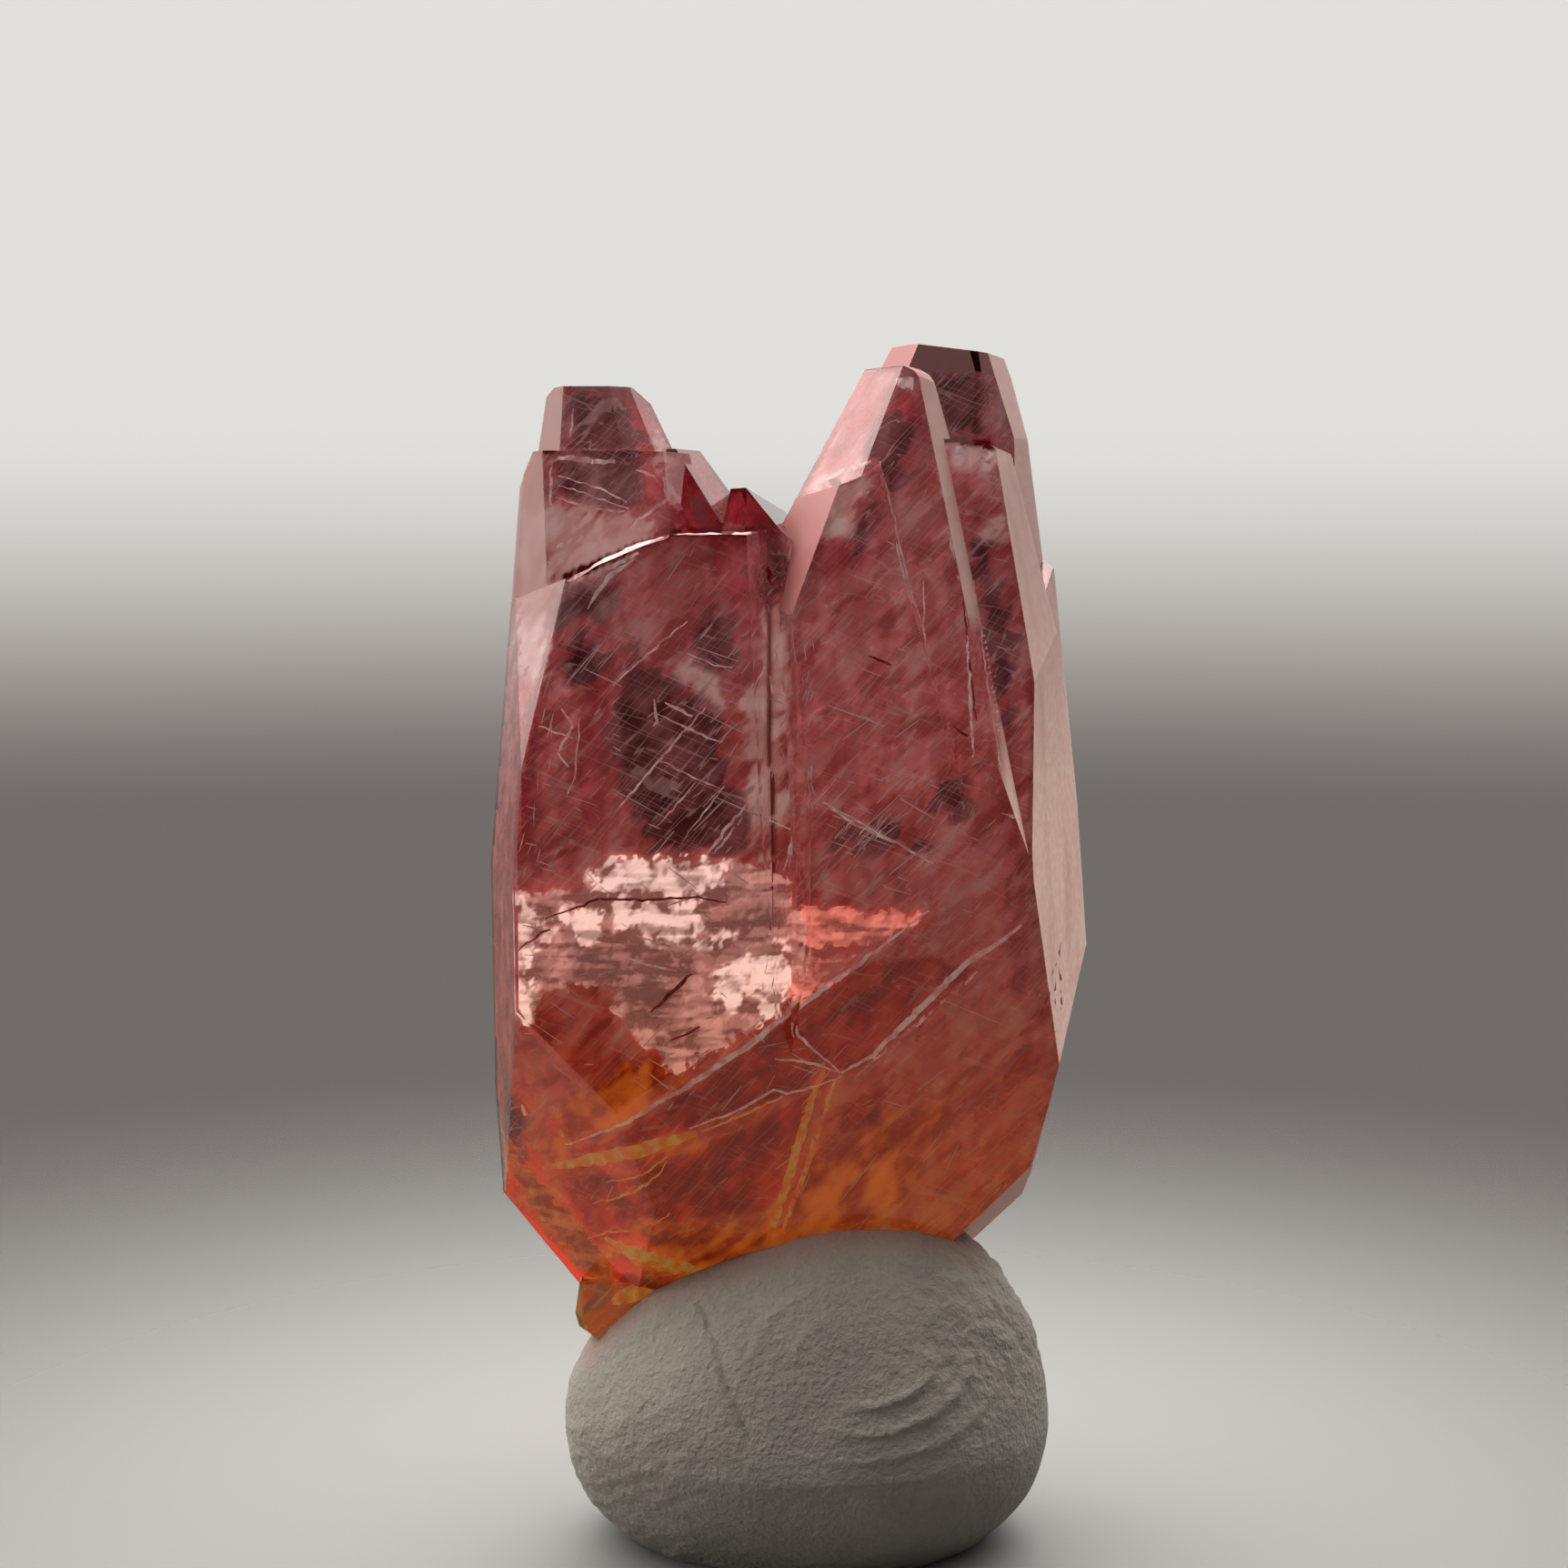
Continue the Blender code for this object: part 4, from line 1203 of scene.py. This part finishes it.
    @staticmethod
    def sit_flat(piece):
        """Cut the lump flat where it rests."""
        edit(piece)
        bpy.ops.mesh.select_all(action="SELECT")
        bpy.ops.mesh.bisect(plane_co=(0, 0, 0), plane_no=(0, 0, -1), threshold=1e-9,
                            clear_outer=True, use_fill=True)
        bpy.ops.mesh.select_all(action="SELECT")
        bpy.ops.mesh.normals_make_consistent(inside=False)
        object_mode()

    @staticmethod
    def take_print(piece):
        """Take the foot of the crystals out of the lump, so that the putty hugs it."""
        foot = copy_of(crystal_group(), "foot_print")
        foot.data.materials.clear()
        apply(piece, "BOOLEAN", operation="DIFFERENCE", solver="MANIFOLD", object=foot)
        bpy.data.objects.remove(foot)

    @staticmethod
    def mark_foot(piece):
        """Store how far each vertex is from the crystals, in millimetres."""
        tree = Front(crystal_group()).tree
        store(piece, "from_crystal", [tree.find_nearest(vert.co)[3] / MM for vert in piece.data.vertices])

    def finish(self, look):
        """Matt grey-green putty with fine grain, with the crystals' red light painted on where it lies near
        them.
        """
        made = Finish.material("grey_putty")
        place = made.place()
        shade = made.cloud(place, 0.5, 1)
        fine = made.cloud(place, 5.0, 1, 0.7)
        lit = tuple(look.lit)
        colour = made.mix(shade.rise(0.35, 0.65), scaled(lit, 0.86), lit)
        colour = made.mix(fine.rise(0.4, 0.66) * 0.3, colour, scaled(lit, 1.18))
        # Painted light: a red tint within about a millimetre of the crystals, for the light that they throw
        # on the putty
        near = made.attribute("from_crystal").rise(1.1, 0.0)
        colour = made.mix(near * 0.45, colour, (0.30, 0.13, 0.10))
        grain = made.cloud(place, 9.0, 2, 0.85)
        return made.surface(base_color=colour, roughness=0.88,
                            normal=made.bump(grain + fine * 1.4, 0.06, 0.8))


class RHODO_OT_stage(bpy.types.Operator):
    """Set the pale floor, the soft light and the camera"""

    bl_idname = "rhodo.stage"
    bl_label = "Stage"

    # The eye's place and how far it looks down from level, and the fade of the floor before it
    EYE = Vector((-0.116, -53.877, 21.5))
    PITCH = 5.1
    LENS = 56.13
    FADE_AWAY = 54

    def execute(self, context):
        look = context.scene.rhodo_stage
        self.make_floor(look)
        self.make_light()
        self.make_camera()
        context.scene.view_settings.view_transform = "Standard"
        paths = context.scene.cycles
        paths.max_bounces = 8
        paths.transmission_bounces = 8
        paths.transparent_max_bounces = 8
        paths.glossy_bounces = 4
        paths.diffuse_bounces = 1
        paths.caustics_reflective = False
        return {"FINISHED"}

    def make_floor(self, look):
        """A pale floor that fades into the room with distance."""
        deselect()
        bpy.ops.mesh.primitive_circle_add(vertices=96, radius=look.floor_radius, fill_type="NGON")
        floor = bpy.context.object
        floor.name = "floor"
        made = Finish.material("pale_floor")
        x, y, _ = made.parts(made.place())
        slant = self.EYE.z / ((x * x + y * y) ** 0.5 + self.FADE_AWAY)
        floor.data.materials.append(made.surface(base_color=tuple(look.floor_colour), roughness=0.6,
                                                 alpha=slant.rise(0.20, 0.35)))

    def make_light(self):
        """A soft room: bright above, pale walls, a darker band low down."""
        world = bpy.data.worlds.new("soft_room")
        world.cycles.sampling_method = "NONE"
        bpy.context.scene.world = world
        made = Finish(world)
        way = made.node("ShaderNodeTexCoord").outputs["Generated"]
        x, y, z = made.parts(way)
        wall = 0.04 + y.rise(-0.3, 0.6) * 0.71 + x.rise(0.3, 1.0) * 0.10
        low = z.rise(0.06, -0.10)
        below = z.rise(-0.2, -0.6)
        overhead = y.rise(-0.5, 0.2) * z.rise(0.45, 0.85) * 3.8
        behind = y.rise(-0.1, 0.5) * z.rise(0.2, 0.6) * 1.6
        before = y.rise(0.2, -0.4) * z.rise(0.72, 0.95) * 1.5
        left = x.rise(-0.35, -0.9) * z.rise(-0.05, 0.35) * 2.8
        strength = wall * (1 - low * 0.78) + below * 0.15 + overhead + behind + before + left
        glow = made.node("ShaderNodeBackground", None, {
            "Color": made.mix(low, (1.0, 0.985, 0.95), (1.0, 0.91, 0.85)), "Strength": strength,
        })
        made.node("ShaderNodeOutputWorld", None, {"Surface": glow.outputs[0]})

    def make_camera(self):
        data = bpy.data.cameras.new("camera")
        data.lens = self.LENS
        data.sensor_width = 36
        data.clip_start = 0.001
        data.clip_end = 10
        camera = bpy.data.objects.new("camera", data)
        camera.location = self.EYE * MM
        camera.rotation_euler = (math.radians(90 - self.PITCH), 0, 0)
        bpy.context.scene.collection.objects.link(camera)
        bpy.context.scene.camera = camera


class RHODO_PT_panel(bpy.types.Panel):
    """The makers, in the order in which they run"""

    bl_label = "Rhodochrosite"
    bl_space_type = "VIEW_3D"
    bl_region_type = "UI"
    bl_category = "Rhodochrosite"

    def draw(self, context):
        for maker in MAKERS:
            self.layout.operator(maker.bl_idname)
        for name in SETTINGS:
            group = getattr(context.scene, name)
            box = self.layout.box()
            for key in group.__annotations__:
                box.prop(group, key)


MAKERS = (RHODO_OT_crystal, RHODO_OT_veils, RHODO_OT_fractures,
          RHODO_OT_needles, RHODO_OT_strands, RHODO_OT_putty, RHODO_OT_stage)
SETTINGS = {
    "rhodo_crystal": CrystalSettings,
    "rhodo_flaws": FlawSettings,
    "rhodo_putty": PuttySettings,
    "rhodo_stage": StageSettings,
}


def register():
    for kind in (*SETTINGS.values(), *MAKERS, RHODO_PT_panel):
        bpy.utils.register_class(kind)
    for name, kind in SETTINGS.items():
        setattr(bpy.types.Scene, name, PointerProperty(type=kind))


def unregister():
    for name in SETTINGS:
        delattr(bpy.types.Scene, name)
    for kind in (RHODO_PT_panel, *MAKERS, *SETTINGS.values()):
        bpy.utils.unregister_class(kind)


def main():
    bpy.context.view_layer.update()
    register()
    bpy.ops.rhodo.crystal()
    bpy.ops.rhodo.veils()
    bpy.ops.rhodo.fractures()
    bpy.ops.rhodo.needles()
    bpy.ops.rhodo.strands()
    bpy.ops.rhodo.putty()
    bpy.ops.rhodo.stage()
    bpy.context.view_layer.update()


if __name__ == "__main__":
    main()
